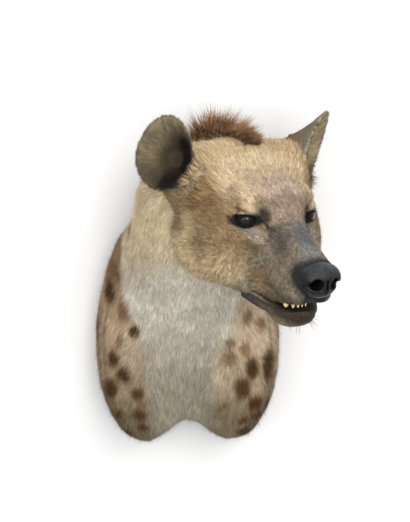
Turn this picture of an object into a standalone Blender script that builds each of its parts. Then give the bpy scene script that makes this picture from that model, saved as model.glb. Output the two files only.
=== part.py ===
# Shoulder mount of a spotted hyena, life size: chest, neck and head on a hidden wall board.
# X is the animal's left, Y points into the wall and Z is up. The wall face is Y = 0, and the
# origin is the middle of the board's wall face. The chest faces -Y and the head is turned left.
# The hide is modelled as clay: soft lumps and lofts, measured in millimetres, whose joined
# surface is meshed once, thinned out and parted with thin cuts into the named pieces.

import math

import bmesh
import bpy
import numpy as np
from mathutils import Matrix, Vector

MM = 0.001
GAP = 0.3 * MM  # left between pieces that touch

# Pose of the head
EYES_AT = (0.115, -0.317, 0.160)  # point midway between the eyes
HEAD_YAW = math.radians(31)  # turned to the animal's left
HEAD_PITCH = math.radians(15)  # nose down
HEAD_ROLL = math.radians(2)  # left side up

# Head sizes in millimetres, from the point midway between the eyes
EYE_RADIUS = 13
EAR_HALF_WIDTH = 42
EAR_HALF_HEIGHT = 51

# Chest sizes in millimetres
CHEST_HALF_WIDTH = 131
CHEST_WIDEST_AT = -30
CHEST_TOP = 173
CHEST_FOOT = -172
CHEST_FOOT_UNCUT = -210
ARCH_RISE = 32
ARCH_HALF_WIDTH = 63
ARCH_TILT = 0.035  # the left lobe ends higher

CLAY_STEP = 3.0


def axes_of_head():
    yaw = Matrix.Rotation(HEAD_YAW, 3, "Z")
    pitch = Matrix.Rotation(HEAD_PITCH, 3, "X")
    roll = Matrix.Rotation(-HEAD_ROLL, 3, "Y")
    return np.array(yaw @ pitch @ roll) * (1, -1, 1)  # columns: left, forward, up


HEAD_AXES = axes_of_head()


def to_head(points):
    # World metres to the head's own millimetres: left, forward, up
    return (points - EYES_AT) @ HEAD_AXES / MM


def from_head(points):
    return np.asarray(points) * MM @ HEAD_AXES.T + EYES_AT


def folded(points):
    # Both sides of the body measured on its left side
    return np.abs(points[:, :1]) * (1, 0, 0) + points * (0, 1, 1)


def ellipsoid(points, centre, radii, axes=None):
    local = points - centre
    if axes is not None:
        local = local @ axes
    scaled = np.linalg.norm(local / radii, axis=1)
    slope = np.linalg.norm(local / np.square(radii), axis=1)
    return scaled * (scaled - 1) / np.maximum(slope, 1e-9)


def limb(points, start, end, start_radius, end_radius):
    # A round bar between two points, thicker at one end
    start, end = np.asarray(start, float), np.asarray(end, float)
    axis = end - start
    share = np.clip((points - start) @ axis / (axis @ axis), 0, 1)
    off = points - start - share[:, None] * axis
    return np.linalg.norm(off, axis=1) - (start_radius + share * (end_radius - start_radius))


def smooth_curve(at, places, values):
    # A smooth curve through a few values, level at both ends
    places, values = np.asarray(places, float), np.asarray(values, float)
    slopes = np.gradient(values, places)
    at = np.clip(at, places[0], places[-1])
    i = np.clip(np.searchsorted(places, at) - 1, 0, len(places) - 2)
    width = places[i + 1] - places[i]
    t = (at - places[i]) / width
    rise = values[i] * (2 * t**3 - 3 * t**2 + 1) + values[i + 1] * (3 * t**2 - 2 * t**3)
    return rise + width * (slopes[i] * (t**3 - 2 * t**2 + t) + slopes[i + 1] * (t**3 - t**2))


def loft(points, stations, front, nose_length, squareness):
    # A body along the forward axis. Each station is forward, half width, top, bottom; the
    # front end is rounded over nose_length.
    forward, half_width, top, bottom = np.array(stations, float).T
    f = points[:, 1]
    middle = smooth_curve(f, forward, (top + bottom) / 2)
    tall = smooth_curve(f, forward, (top - bottom) / 2)
    wide = smooth_curve(f, forward, half_width)
    inset = np.clip((f - (front - nose_length)) / nose_length, 0, 0.995)
    shrink = np.sqrt(1 - inset**2)
    beyond = np.maximum(f - front, 0)
    behind = np.maximum(forward[0] - f, 0)
    across = np.abs(points[:, 0]) / (wide * shrink)
    along = np.abs(points[:, 2] - middle) / (tall * shrink)
    reach = (across**squareness + along**squareness) ** (1 / squareness)
    d = (reach - 1) * np.minimum(wide, tall) * np.maximum(shrink, 0.3)
    past_end = beyond + behind
    return np.where(past_end > 0, np.hypot(np.maximum(d, 0), past_end), d)


def merge(first, second, soft):
    mix = np.clip(0.5 + 0.5 * (second - first) / soft, 0, 1)
    return second + (first - second) * mix - soft * mix * (1 - mix)


def carve(first, second, soft):
    return -merge(-first, second, soft)


def evened(field, points, step=0.5):
    # The field as a true distance near its surface
    value = field(points)
    slope = [(field(points + step * axis) - value) / step for axis in np.eye(3)]
    return value / np.maximum(np.linalg.norm(slope, axis=0), 0.2)


BRIDGE = (
    # forward, half width, top, bottom
    (-30, 46, 42, -50),
    (0, 38, 29, -56),
    (28, 27, 12, -60),
    (55, 24, -5, -62),
    (80, 24, -18, -62),
    (96, 24, -25, -62),
)
LIPS = (
    (-30, 49, 20, -84),
    (0, 40, -4, -90),
    (28, 33, -25, -86),
    (55, 31, -32, -87),
    (80, 28, -42, -81),
    (96, 22, -48, -74),
)
LOWER_JAW = (
    (-60, 62, -50, -96),
    (0, 50, -72, -98),
    (30, 41, -80, -103),
    (52, 32, -84, -117),
    (72, 26, -84, -115),
    (90, 18, -82, -104),
)


def muzzle_field(p):
    bridge = loft(p, BRIDGE, 104, 26, 2.4)
    lips = loft(p, LIPS, 93, 28, 2.4)
    lower = loft(p, LOWER_JAW, 82, 28, 2.3)
    pads = ellipsoid(folded(p), (15, 72, -69), (17, 24, 15))
    return merge(merge(merge(bridge, lips, 14), pads, 6), lower, 5)


def skull_field(p):
    q = folded(p)
    d = ellipsoid(p, (0, -95, 4), (64, 84, 58))
    d = merge(d, ellipsoid(p, (0, -98, 34), (30, 62, 37)), 24)
    d = merge(d, ellipsoid(q, (40, -92, 24), (38, 58, 42)), 18)
    d = merge(d, ellipsoid(p, (0, -26, 10), (45, 44, 34)), 24)
    cheekbone = ellipsoid(q, (56, -60, -14), (30, 38, 32))
    chewing = ellipsoid(q, (58, -66, -50), (38, 62, 46))
    d = merge(d, merge(cheekbone, chewing, 20), 20)
    return merge(d, ellipsoid(p, (0, -40, -72), (50, 70, 32)), 20)


EYE_MIDDLE = (38, -12, -1)
EYE_FACING = (0.60, 0.79, 0.03)
LID_THICK = 2.6
LID_TILT = (0.10, -0.16, 1)  # the lids' upward direction, so that the inner corner is lower


def eye_form(p, d):
    q = folded(p)
    d = carve(d, ellipsoid(q, (56, 12, -1), (18, 18, 11)), 10)
    d = merge(d, ellipsoid(q, (41, -5, 13), (15, 14, 6)), 9)
    lid = EYE_RADIUS + LID_THICK
    return merge(d, ellipsoid(q, EYE_MIDDLE, (lid, lid, lid)), 3)


def nose_field(p):
    q = folded(p)
    d = ellipsoid(p, (0, 96, -46), (25, 20, 22))
    d = merge(d, ellipsoid(q, (17, 92, -42), (12, 18, 14)), 6)
    opening = limb(q, (13, 118, -47), (11, 100, -44), 5.5, 3.5)
    slit = limb(q, (15, 114, -47), (24, 104, -50), 3.2, 1.6)
    return carve(d, merge(opening, slit, 3), 3)


def head_field(points):
    p = to_head(points)
    d = merge(skull_field(p), muzzle_field(p), 18)
    return eye_form(p, d)


EAR_THICK = 5.5
EAR_DEPTH = 40
EAR_FLARE = 1.5
EAR_NECK = 0.28  # width of the cup's bottom as a share of its rim
EAR_ROOT = (62, -92, 26)  # the muscle that the ear stands on
EAR_ROOT_SIZE = (32, 36, 40)
CANAL_OFF = (10, -14)  # the cup's bottom, seen from its rim: towards the crown, down
EAR_POSES = {
    # side, middle of the rim, way it faces, way it rises
    "left": (1, (112, -92, 60), (0.62, 0.72, -0.10), (0.36, -0.14, 0.92)),
    "right": (-1, (116, -100, 58), (0.74, 0.67, 0.05), (-0.06, 0.05, 0.99)),
}


def ear_axes(facing, rise):
    facing = np.array(facing) / np.linalg.norm(facing)
    rise = np.array(rise) - facing * (facing @ rise)
    rise /= np.linalg.norm(rise)
    return np.stack((np.cross(rise, facing), rise, facing), axis=1)


def ear_cup(local):
    # A trumpet: narrow at the canal, flaring out to an egg-shaped rim at height 0
    depth = np.clip(-local[:, 2] / EAR_DEPTH, 0, 1)
    flare = EAR_NECK + (1 - EAR_NECK) * (1 - depth) ** EAR_FLARE
    x = local[:, 0] - CANAL_OFF[0] * depth
    y = local[:, 1] - CANAL_OFF[1] * depth
    wide = EAR_HALF_WIDTH * (1 - 0.2 * np.clip(local[:, 1] / EAR_HALF_HEIGHT, -1, 1))
    reach = np.hypot(x / wide, y / EAR_HALF_HEIGHT)
    return (reach - flare) * EAR_HALF_WIDTH


def add_ear(p, d, pose):
    side, middle, facing, rise = pose
    q = p * (side, 1, 1)
    local = (q - middle) @ ear_axes(facing, rise)
    cup = evened(ear_cup, local)
    rim = local[:, 2] + 5 * (local[:, 0] / EAR_HALF_WIDTH) ** 2
    base = -local[:, 2] - EAR_DEPTH
    stalk = limb(q, (60, -98, 6), (88, -116, 26), 34, 24)
    d = merge(d, merge(stalk, ellipsoid(q, EAR_ROOT, EAR_ROOT_SIZE), 20), 22)
    shell = np.maximum(-merge(-cup, -rim, 5), base)
    d = merge(d, shell, 8)
    hollow = np.maximum(np.maximum(cup + EAR_THICK, local[:, 2] - 30), base + 6)
    return carve(d, hollow, 5)


def outline_field(p):
    # The hide's edge against the wall, seen from the front
    x, z = p[:, 0], p[:, 2] - CHEST_WIDEST_AT
    tall = np.where(z > 0, CHEST_TOP - CHEST_WIDEST_AT, CHEST_WIDEST_AT - CHEST_FOOT_UNCUT)
    around = (np.hypot(x / CHEST_HALF_WIDTH, z / tall) - 1) * CHEST_HALF_WIDTH
    swing = np.clip(x / ARCH_HALF_WIDTH, -1, 1)
    foot = CHEST_FOOT + ARCH_TILT * x + ARCH_RISE * (1 + np.cos(math.pi * swing)) / 2
    return carve(around, p[:, 2] - foot, 20)


def trunk_field(points):
    p = points / MM
    q = folded(p)
    d = ellipsoid(p, (2, -4, 5), (157, 116, 215))
    d = merge(d, ellipsoid(q, (62, -40, -82), (76, 80, 100)), 34)
    return -merge(-d, -outline_field(p), 22)


def neck_field(points):
    return limb(points / MM, (0, -50, 60), (21, -172, 162), 93, 91)


def body_field(points):
    neck = merge(trunk_field(points), neck_field(points), 40)
    d = merge(head_field(points), neck, 14)
    for pose in EAR_POSES.values():
        d = add_ear(to_head(points), d, pose)
    return np.maximum(d, points[:, 1] / MM)


def sample(field, low, high, step, block=4):
    # Far from the surface the coarse grid is enough; near it every point is measured
    low = np.asarray(low, float)
    counts = (np.ceil((np.asarray(high) - low) / (step * block)).astype(int) + 1) * block
    axes = [low[i] + step * np.arange(counts[i]) for i in range(3)]
    rough_axes = [a[block // 2 :: block] for a in axes]
    rough = np.stack(np.meshgrid(*rough_axes, indexing="ij"), -1).reshape(-1, 3)
    values = field(rough).reshape([len(a) for a in rough_axes])
    for i in range(3):
        values = np.repeat(values, block, axis=i)
    near = np.abs(values) < step / MM * block * 1.8
    index = np.argwhere(near)
    points = np.stack([axes[i][index[:, i]] for i in range(3)], 1)
    values[near] = field(points)
    return axes, values


def part_of(array, shift):
    # The array's 2 x 2 x 2 neighbourhoods, seen from one of their corners
    spans = [slice(s, s + n - 1) for s, n in zip(shift, array.shape)]
    return array[tuple(spans)]


def close_pinches(values):
    # Where two bodies of clay would touch along one edge or at one point, they are bridged
    corners = [(a, b, c) for a in (0, 1) for b in (0, 1) for c in (0, 1)]
    for _ in range(4):
        inside = values < 0
        for axis in range(3):
            first, second = np.eye(3, dtype=int)[[(axis + 1) % 3, (axis + 2) % 3]]
            a, b = part_of(inside, (0, 0, 0)), part_of(inside, first)
            c, d = part_of(inside, second), part_of(inside, first + second)
            crossed = (a == d) & (b == c) & (a != b)
            for shift in ((0, 0, 0), first, second, first + second):
                view = part_of(values, shift)
                view[crossed] = np.minimum(view[crossed], -1e-3)
        inside = values < 0
        count = sum(part_of(inside, corner).astype(int) for corner in corners)
        for corner in corners[:4]:
            other = tuple(1 - i for i in corner)
            here = part_of(inside, corner)
            pair = here == part_of(inside, other)
            lone = pair & (((count == 2) & here) | ((count == 6) & ~here))
            for each in corners:
                view = part_of(values, each)
                view[lone] = np.minimum(view[lone], -1e-3)


def surface(field, low, high, step):
    axes, values = sample(field, low, high, step)
    close_pinches(values)
    inside = values < 0
    total = np.zeros(np.array(values.shape) - 1, int)
    corners = [(a, b, c) for a in (0, 1) for b in (0, 1) for c in (0, 1)]
    nx, ny, nz = total.shape
    for a, b, c in corners:
        total += inside[a : a + nx, b : b + ny, c : c + nz]
    cells = np.argwhere((total > 0) & (total < 8))
    ids = np.full(total.shape, -1)
    ids[tuple(cells.T)] = np.arange(len(cells))
    corner_values = {c: values[tuple((cells + c).T)] for c in corners}
    weight = np.zeros(len(cells))
    middle = np.zeros((len(cells), 3))
    for c in corners:
        for axis in range(3):
            if c[axis]:
                continue
            other = tuple(1 if i == axis else c[i] for i in range(3))
            va, vb = corner_values[c], corner_values[other]
            crossed = (va < 0) != (vb < 0)
            share = np.where(crossed, va / np.where(crossed, va - vb, 1), 0)
            spot = np.array(c, float) + share[:, None] * (np.array(other) - c)
            middle += spot * crossed[:, None]
            weight += crossed
    verts = np.array([a[0] for a in axes]) + step * (cells + middle / weight[:, None])
    faces = []
    for axis in range(3):
        u, v = [(1, 2), (2, 0), (0, 1)][axis]
        here = [slice(1, -1)] * 3
        here[axis] = slice(0, -1)
        there = list(here)
        there[axis] = slice(1, None)
        a, b = inside[tuple(here)], inside[tuple(there)]
        spots = np.argwhere(a != b)
        spots[:, [u, v]] += 1
        leaving = inside[tuple(spots.T)]
        quad = []
        for du, dv in ((-1, -1), (0, -1), (0, 0), (-1, 0)):
            cell = spots.copy()
            cell[:, u] += du
            cell[:, v] += dv
            quad.append(ids[tuple(cell.T)])
        quad = np.stack(quad, 1)
        quad[~leaving] = quad[~leaving][:, ::-1]
        faces.append(quad)
    return verts, np.concatenate(faces)


def make_object(name, verts, faces):
    mesh = bpy.data.meshes.new(name)
    mesh.from_pydata(np.asarray(verts).tolist(), [], np.asarray(faces).tolist())
    mesh.update()
    obj = bpy.data.objects.new(name, mesh)
    bpy.context.scene.collection.objects.link(obj)
    return obj


def bake(obj):
    # The object's modifiers become its mesh
    graph = bpy.context.evaluated_depsgraph_get()
    mesh = bpy.data.meshes.new_from_object(obj.evaluated_get(graph))
    obj.modifiers.clear()
    obj.data = mesh


def thin_out(obj, triangles):
    bm = bmesh.new()
    bm.from_mesh(obj.data)
    bmesh.ops.triangulate(bm, faces=bm.faces)
    count = len(bm.faces)
    bm.to_mesh(obj.data)
    bm.free()
    modifier = obj.modifiers.new("thin", "DECIMATE")
    modifier.ratio = triangles / count
    bake(obj)


def combine(obj, other, operation):
    modifier = obj.modifiers.new(operation.lower(), "BOOLEAN")
    modifier.operation = operation
    modifier.object = other
    modifier.solver = "EXACT"
    bake(obj)
    bpy.data.objects.remove(other)


def slab(middle, normal, half_size, thickness=GAP):
    # A thin square plate, in world metres
    turn = Vector(normal).to_track_quat("Z", "Y").to_matrix().to_4x4()
    bm = bmesh.new()
    bmesh.ops.create_cube(bm, size=1)
    bmesh.ops.scale(bm, vec=(2 * half_size, 2 * half_size, thickness), verts=bm.verts)
    bm.transform(Matrix.Translation(middle) @ turn)
    mesh = bpy.data.meshes.new("cut")
    bm.to_mesh(mesh)
    bm.free()
    obj = bpy.data.objects.new("cut", mesh)
    bpy.context.scene.collection.objects.link(obj)
    return obj


def prism(outline, low, high, place):
    # A closed outline swept between two levels; place maps (u, v, level) to world metres
    count = len(outline)
    verts = [place(u, v, level) for level in (low, high) for u, v in outline]
    sides = [(i, (i + 1) % count, count + (i + 1) % count, count + i) for i in range(count)]
    mesh = bpy.data.meshes.new("prism")
    mesh.from_pydata(verts, [], [tuple(range(count)), tuple(range(count, 2 * count)), *sides])
    bm = bmesh.new()
    bm.from_mesh(mesh)
    bmesh.ops.recalc_face_normals(bm, faces=bm.faces)
    bm.to_mesh(mesh)
    bm.free()
    obj = bpy.data.objects.new("prism", mesh)
    bpy.context.scene.collection.objects.link(obj)
    return obj


def islands(mesh):
    # The vertices of each separate closed surface
    edges = np.empty(len(mesh.edges) * 2, int)
    mesh.edges.foreach_get("vertices", edges)
    label = np.arange(len(mesh.vertices))
    a, b = edges[::2], edges[1::2]
    while True:
        low = np.minimum(label[a], label[b])
        new = label.copy()
        np.minimum.at(new, a, low)
        np.minimum.at(new, b, low)
        new = new[new]
        if (new == label).all():
            return label
        label = new


def take_island(obj, name, seed):
    # A new object from the closed surface that comes nearest to the seed point
    mesh = obj.data
    points = np.empty(len(mesh.vertices) * 3)
    mesh.vertices.foreach_get("co", points)
    points = points.reshape(-1, 3)
    label = islands(mesh)
    kept = label == label[np.argmin(np.linalg.norm(points - seed, axis=1))]
    order = np.cumsum(kept) - 1
    faces = [[order[v] for v in face.vertices] for face in mesh.polygons if kept[face.vertices[0]]]
    mesh = bpy.data.meshes.new(name)
    mesh.from_pydata(points[kept].tolist(), [], faces)
    piece = bpy.data.objects.new(name, mesh)
    bpy.context.scene.collection.objects.link(piece)
    return piece


def fattened(obj, amount):
    # A copy whose surface is moved out along its normals
    copy = bpy.data.objects.new("fattened", obj.data.copy())
    bpy.context.scene.collection.objects.link(copy)
    normals = np.empty(len(obj.data.vertices) * 3)
    points = normals.copy()
    copy.data.vertices.foreach_get("co", points)
    copy.data.vertices.foreach_get("normal", normals)
    copy.data.vertices.foreach_set("co", points + amount * normals)
    return copy


def ball(name, middle, radii, facing=(0, 0, 1), rings=10):
    bm = bmesh.new()
    bmesh.ops.create_uvsphere(bm, u_segments=2 * rings, v_segments=rings, radius=1)
    bmesh.ops.scale(bm, vec=radii, verts=bm.verts)
    turn = Vector(facing).to_track_quat("Z", "Y").to_matrix().to_4x4()
    bm.transform(Matrix.Translation(middle) @ turn)
    mesh = bpy.data.meshes.new(name)
    bm.to_mesh(mesh)
    bm.free()
    obj = bpy.data.objects.new(name, mesh)
    bpy.context.scene.collection.objects.link(obj)
    return obj


# Where the thin cuts go, in the head's millimetres: a point and the way the cut faces
EAR_CUT = ((78, -108, 42), (0.94, 0.0, 0.35), 74)
HEAD_CUT = ((0, -128, -20), (0.0, 0.963, 0.271), 190)
NECK_CUT = ((0, -0.095, 0.070), (0.10, -0.75, 0.65), 0.20)  # world metres

# The line of the mouth from the side, in the head's millimetres: forward, up
UPPER_LIP = ((0, -90), (26, -82), (45, -83.5), (59, -86), (75, -84), (92, -78), (125, -70))
LOWER_LIP = (
    (125, -78),
    (91, -86),
    (80, -92),
    (66, -95),
    (53, -91),
    (44, -83.8),
    (26, -82.3),
    (0, -90.3),
)
JAW_ANGLE = ((-22, -96.3), (-44, -140), (-44.3, -140), (-22.3, -96))


def mouth_cutter():
    def place(forward, up, side):
        return from_head((side, forward, up))

    return prism(UPPER_LIP + LOWER_LIP + JAW_ANGLE, -120, 120, place)


def head_direction(vector):
    return HEAD_AXES @ vector


def world_of(side, point):
    return from_head(np.array(point) * (side, 1, 1))


TOOTH_COUNT = 11
TOOTH_ARCH = (21, 60, 27)  # half width, where it starts, how far forward it bows
TOOTH_SHOWING = 3.5
GUM_DEPTH = 10


def add_teeth(head):
    half_width, start, bow = TOOTH_ARCH
    forward, up = np.array(UPPER_LIP).T
    for angle in np.radians(np.linspace(-78, 78, TOOTH_COUNT)):
        canine = 50 < abs(math.degrees(angle)) < 66
        side, ahead = half_width * math.sin(angle), start + bow * math.cos(angle)
        lip = np.interp(ahead, forward, up)
        half_height = (TOOTH_SHOWING + GUM_DEPTH + 1.5 * canine) / 2
        middle = from_head((side, ahead, lip + GUM_DEPTH - half_height))
        thick = 3.2 if canine else 2.2
        radii = np.array((thick, thick, half_height)) * MM
        tooth = ball("tooth", middle, radii, head_direction((0, 0, 1)), 3)
        combine(head, tooth, "UNION")


def add_eye(head, side, name):
    middle = world_of(side, EYE_MIDDLE)
    facing = head_direction(np.array(EYE_FACING) * (side, 1, 1))
    socket = ball("socket", middle, [EYE_RADIUS * MM + GAP] * 3, facing)
    combine(head, socket, "DIFFERENCE")
    along = np.cross(facing, head_direction(np.array(LID_TILT) * (side, 1, 1)))
    along /= np.linalg.norm(along)
    slit_at = middle + facing * EYE_RADIUS * MM
    slit = ball("slit", (0, 0, 0), (15 * MM, 7.5 * MM, 9 * MM))
    axes = Matrix(np.stack((along, np.cross(facing, along), facing), 1).tolist()).to_4x4()
    slit.data.transform(Matrix.Translation(slit_at) @ axes)
    if axes.determinant() < 0:
        slit.data.flip_normals()
    combine(head, slit, "DIFFERENCE")
    return ball(name, middle, [EYE_RADIUS * MM] * 3, facing, 9)


BOARD_THICK = 0.012
HIDE_WRAP = 7  # millimetres of hide round the board's edge


def board_outline(grow):
    # The wall outline, drawn in, as points round its middle
    points = []
    for angle in np.linspace(0, 2 * math.pi, 72, endpoint=False):
        way = np.array((math.cos(angle), 0, math.sin(angle)))
        near, far = 0.0, 260.0
        for _ in range(30):
            reach = (near + far) / 2
            inside = outline_field((way * reach)[None])[0] < -HIDE_WRAP + grow
            near, far = (reach, far) if inside else (near, reach)
        points.append(tuple((way * near * MM)[[0, 2]]))
    return points


def wall_plate(name, grow, back):
    obj = prism(board_outline(grow), -BOARD_THICK - grow * MM, back, lambda x, z, y: (x, y, z))
    obj.name = name
    return obj


MANE_FRONT = (0, -90, 71)  # in the head's millimetres
MANE_BACK = (0.0, -0.018, 0.172)  # world metres
MANE_HALF_WIDTH = 20
MANE_HEIGHT = (14, 32, 50, 54, 46, 36)  # hair length in millimetres, from the crown to the wall
MANE_LEAN = (1.8, 1.1, 0.4, 0.1, 0.0, 0.0)  # towards the brow, on the same places
MANE_CORE = 0.42  # solid part of the hair's length
LOCK_ROWS = (-15, -5, 5, 15)  # millimetres to the left
LOCKS_IN_ROW = 21
LOCK_WIDTH = 12
LOCK_THICK = 4.5
LOCK_RINGS = ((0, 0.9), (0.42, 1.0), (0.78, 0.6))  # share of the length, share of the width


def mane_line():
    start, end = from_head(MANE_FRONT), np.array(MANE_BACK)
    return start[:2], (end - start)[:2]


def along_mane(share, values):
    return smooth_curve(np.clip(share, 0, 1), np.linspace(0, 1, len(values)), values)


def mane_field(points):
    start, run = mane_line()
    share = (points[:, :2] - start) @ run / (run @ run)
    off = (points[:, :2] - start) - share[:, None] * run
    across = np.linalg.norm(off, axis=1) / MM / MANE_HALF_WIDTH
    body = body_field(points)
    d = body - MANE_CORE * along_mane(share, MANE_HEIGHT) * (1 - across**2)
    ends = np.maximum(-share, share - 1) * np.linalg.norm(run) / MM
    below = (MANE_BACK[2] - 0.03 - points[:, 2]) / MM
    return np.maximum(np.maximum(d, -body - 2), np.maximum(ends, below))


def top_of_body(places):
    # The height of the hide over each place on the floor plan
    levels = np.linspace(0.30, 0.14, 81)
    grid = np.column_stack([np.repeat(places, len(levels), 0), np.tile(levels, len(places))])
    inside = body_field(grid).reshape(len(places), -1) < 0
    high = levels[np.maximum(np.argmax(inside, 1) - 1, 0)]
    low = high - (levels[0] - levels[1])
    for _ in range(12):
        middle = (high + low) / 2
        outside = body_field(np.column_stack([places, middle])) > 0
        high, low = np.where(outside, middle, high), np.where(outside, low, middle)
    return np.column_stack([places, low])


def lock(root, way, side, length, width, thick, curl):
    # A flat lock with a pointed end: four-sided rings along a bend
    way, side = Vector(way).normalized(), Vector(side)
    side = (side - way * side.dot(way)).normalized()
    bend = Vector(curl)
    flat = way.cross(side)
    verts = []
    for share, size in LOCK_RINGS:
        middle = Vector(root) + way * length * share + bend * length * share**2
        half_side, half_flat = side * width * size / 2, flat * thick * size / 2
        verts += [middle + half_side, middle + half_flat, middle - half_side, middle - half_flat]
    verts += [Vector(root) + way * length + bend * length, Vector(root) - way * length * 0.02]
    tip, foot = len(verts) - 2, len(verts) - 1
    faces = []
    for i in range(4):
        j = (i + 1) % 4
        for ring in (0, 4):
            a, b, c, d = ring + i, ring + j, ring + 4 + j, ring + 4 + i
            faces += [(a, b, c), (a, c, d)] if i % 2 else [(a, b, d), (b, c, d)]
        faces += [(8 + i, 8 + j, tip), (j, i, foot)]
    obj = make_object("lock", verts, faces)
    bm = bmesh.new()
    bm.from_mesh(obj.data)
    bmesh.ops.recalc_face_normals(bm, faces=bm.faces)
    bm.to_mesh(obj.data)
    bm.free()
    return obj


def add_locks(core):
    start, run = mane_line()
    across = np.array((run[1], -run[0])) / np.linalg.norm(run)
    forward = Vector((-run[0], -run[1], 0)).normalized()
    sideways = Vector((across[0], across[1], 0))
    draw = np.random.default_rng(11)
    shares, rows = [], []
    for row_index, row in enumerate(LOCK_ROWS):
        for i in range(LOCKS_IN_ROW):
            step = (i + 0.3 + 0.4 * (row_index % 2) + draw.uniform(-0.15, 0.15)) / LOCKS_IN_ROW
            shares.append(0.02 + 0.95 * step)
            rows.append(row + draw.uniform(-1.5, 1.5))
    shares, rows = np.array(shares), np.array(rows)
    roots = top_of_body(start + shares[:, None] * run + rows[:, None] * MM * across)
    lengths = along_mane(shares, MANE_HEIGHT) * draw.uniform(0.85, 1.12, len(shares)) * MM
    leans = along_mane(shares, MANE_LEAN)
    locks = bpy.data.collections.new("locks")
    for root, row, length, lean in zip(roots, rows, lengths, leans):
        splay = 0.018 * row + draw.uniform(-0.10, 0.10)
        way = Vector((0, 0.25, 1)) + forward * (0.5 * lean) + sideways * splay
        curl = forward * (0.35 * lean) + sideways * (0.4 * splay)
        side = sideways + forward * draw.uniform(-0.8, 0.8)
        length *= 1 - 0.012 * abs(row)
        piece = lock(root, way, side, length, LOCK_WIDTH * MM, LOCK_THICK * MM, curl)
        bpy.context.scene.collection.objects.unlink(piece)
        locks.objects.link(piece)
    modifier = core.modifiers.new("locks", "BOOLEAN")
    modifier.operation = "UNION"
    modifier.operand_type = "COLLECTION"
    modifier.collection = locks
    modifier.solver = "EXACT"
    bake(core)
    for piece in list(locks.objects):
        bpy.data.objects.remove(piece)
    bpy.data.collections.remove(locks)


def largest_island(obj):
    # Drops loose scraps and sealed hollows that joining leaves
    label = islands(obj.data)
    values, counts = np.unique(label, return_counts=True)
    seed = obj.data.vertices[int(values[np.argmax(counts)])].co
    piece = take_island(obj, obj.name, np.array(seed))
    name = obj.name
    bpy.data.objects.remove(obj)
    piece.name = name
    return piece


COLOURS = {
    # node: colour, roughness
    "head": ((0.42, 0.33, 0.22), 0.85),
    "lower_jaw": ((0.20, 0.16, 0.13), 0.8),
    "neck": ((0.45, 0.40, 0.32), 0.85),
    "chest": ((0.45, 0.40, 0.32), 0.85),
    "ear_left": ((0.20, 0.17, 0.12), 0.85),
    "ear_right": ((0.20, 0.17, 0.12), 0.85),
    "nose": ((0.02, 0.022, 0.026), 0.4),
    "mane": ((0.22, 0.10, 0.05), 0.8),
    "wall_board": ((0.45, 0.33, 0.2), 0.7),
    "eye_left": ((0.01, 0.008, 0.006), 0.1),
    "eye_right": ((0.01, 0.008, 0.006), 0.1),
}


def paint(obj, colour, roughness):
    material = bpy.data.materials.new(obj.name)
    material.use_nodes = True
    shader = material.node_tree.nodes["Principled BSDF"]
    shader.inputs["Base Color"].default_value = (*colour, 1)
    shader.inputs["Roughness"].default_value = roughness
    obj.data.materials.clear()
    obj.data.materials.append(material)
    obj.data.shade_smooth()
    obj.data.set_sharp_from_angle(angle=math.radians(50))


BODY_TRIANGLES = 7600
NOSE_TRIANGLES = 700
MANE_CORE_TRIANGLES = 420
NOSE_STEP = 2.0
CLEARANCE = 0.4 * MM  # round the pieces that are set in


def clay_body(low, high):
    body = make_object("body", *surface(body_field, low, high, CLAY_STEP * MM))
    body.data.shade_smooth()
    thin_out(body, BODY_TRIANGLES)
    return body


def make_mane(body, low, high):
    mane = make_object("mane", *surface(mane_field, low, high, CLAY_STEP * MM))
    thin_out(mane, MANE_CORE_TRIANGLES)
    add_locks(mane)
    combine(mane, fattened(body, CLEARANCE), "DIFFERENCE")
    largest_island(mane)


def set_in_nose(body, low, high):
    field = lambda points: nose_field(to_head(points))
    nose = make_object("nose", *surface(field, low, high, NOSE_STEP * MM))
    thin_out(nose, NOSE_TRIANGLES)
    combine(body, fattened(nose, CLEARANCE), "DIFFERENCE")


def cut_apart(body):
    combine(body, wall_plate("recess", 0.3, 0.01), "DIFFERENCE")
    combine(body, mouth_cutter(), "DIFFERENCE")
    point, normal, half = HEAD_CUT
    combine(body, slab(from_head(point), head_direction(normal), half * MM), "DIFFERENCE")
    point, normal, half = NECK_CUT
    combine(body, slab(point, normal, half), "DIFFERENCE")
    point, normal, half = EAR_CUT
    for side in (1, -1):
        facing = head_direction(np.array(normal) * (side, 1, 1))
        combine(body, slab(world_of(side, point), facing, half * MM), "DIFFERENCE")
    head = take_island(body, "head", from_head((0, -50, 50)))
    take_island(body, "lower_jaw", from_head((0, 70, -116)))
    take_island(body, "neck", from_head((0, -190, 0)))
    take_island(body, "chest", (0.0, -0.16, -0.10))
    take_island(body, "ear_left", world_of(1, (150, -100, 90)))
    take_island(body, "ear_right", world_of(-1, (150, -100, 90)))
    bpy.data.objects.remove(body)
    return head


def main():
    for obj in list(bpy.data.objects):
        bpy.data.objects.remove(obj)
    low, high = (-0.15, -0.47, -0.20), (0.30, 0.006, 0.34)
    body = clay_body(low, high)
    make_mane(body, low, high)
    set_in_nose(body, low, high)
    head = cut_apart(body)
    add_teeth(head)
    add_eye(head, 1, "eye_left")
    add_eye(head, -1, "eye_right")
    wall_plate("wall_board", 0, 0.0)
    for name, (colour, roughness) in COLOURS.items():
        paint(bpy.data.objects[name], colour, roughness)


main()
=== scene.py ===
import math

import bmesh
import bpy
import numpy as np
from mathutils import Matrix, Vector


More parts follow.
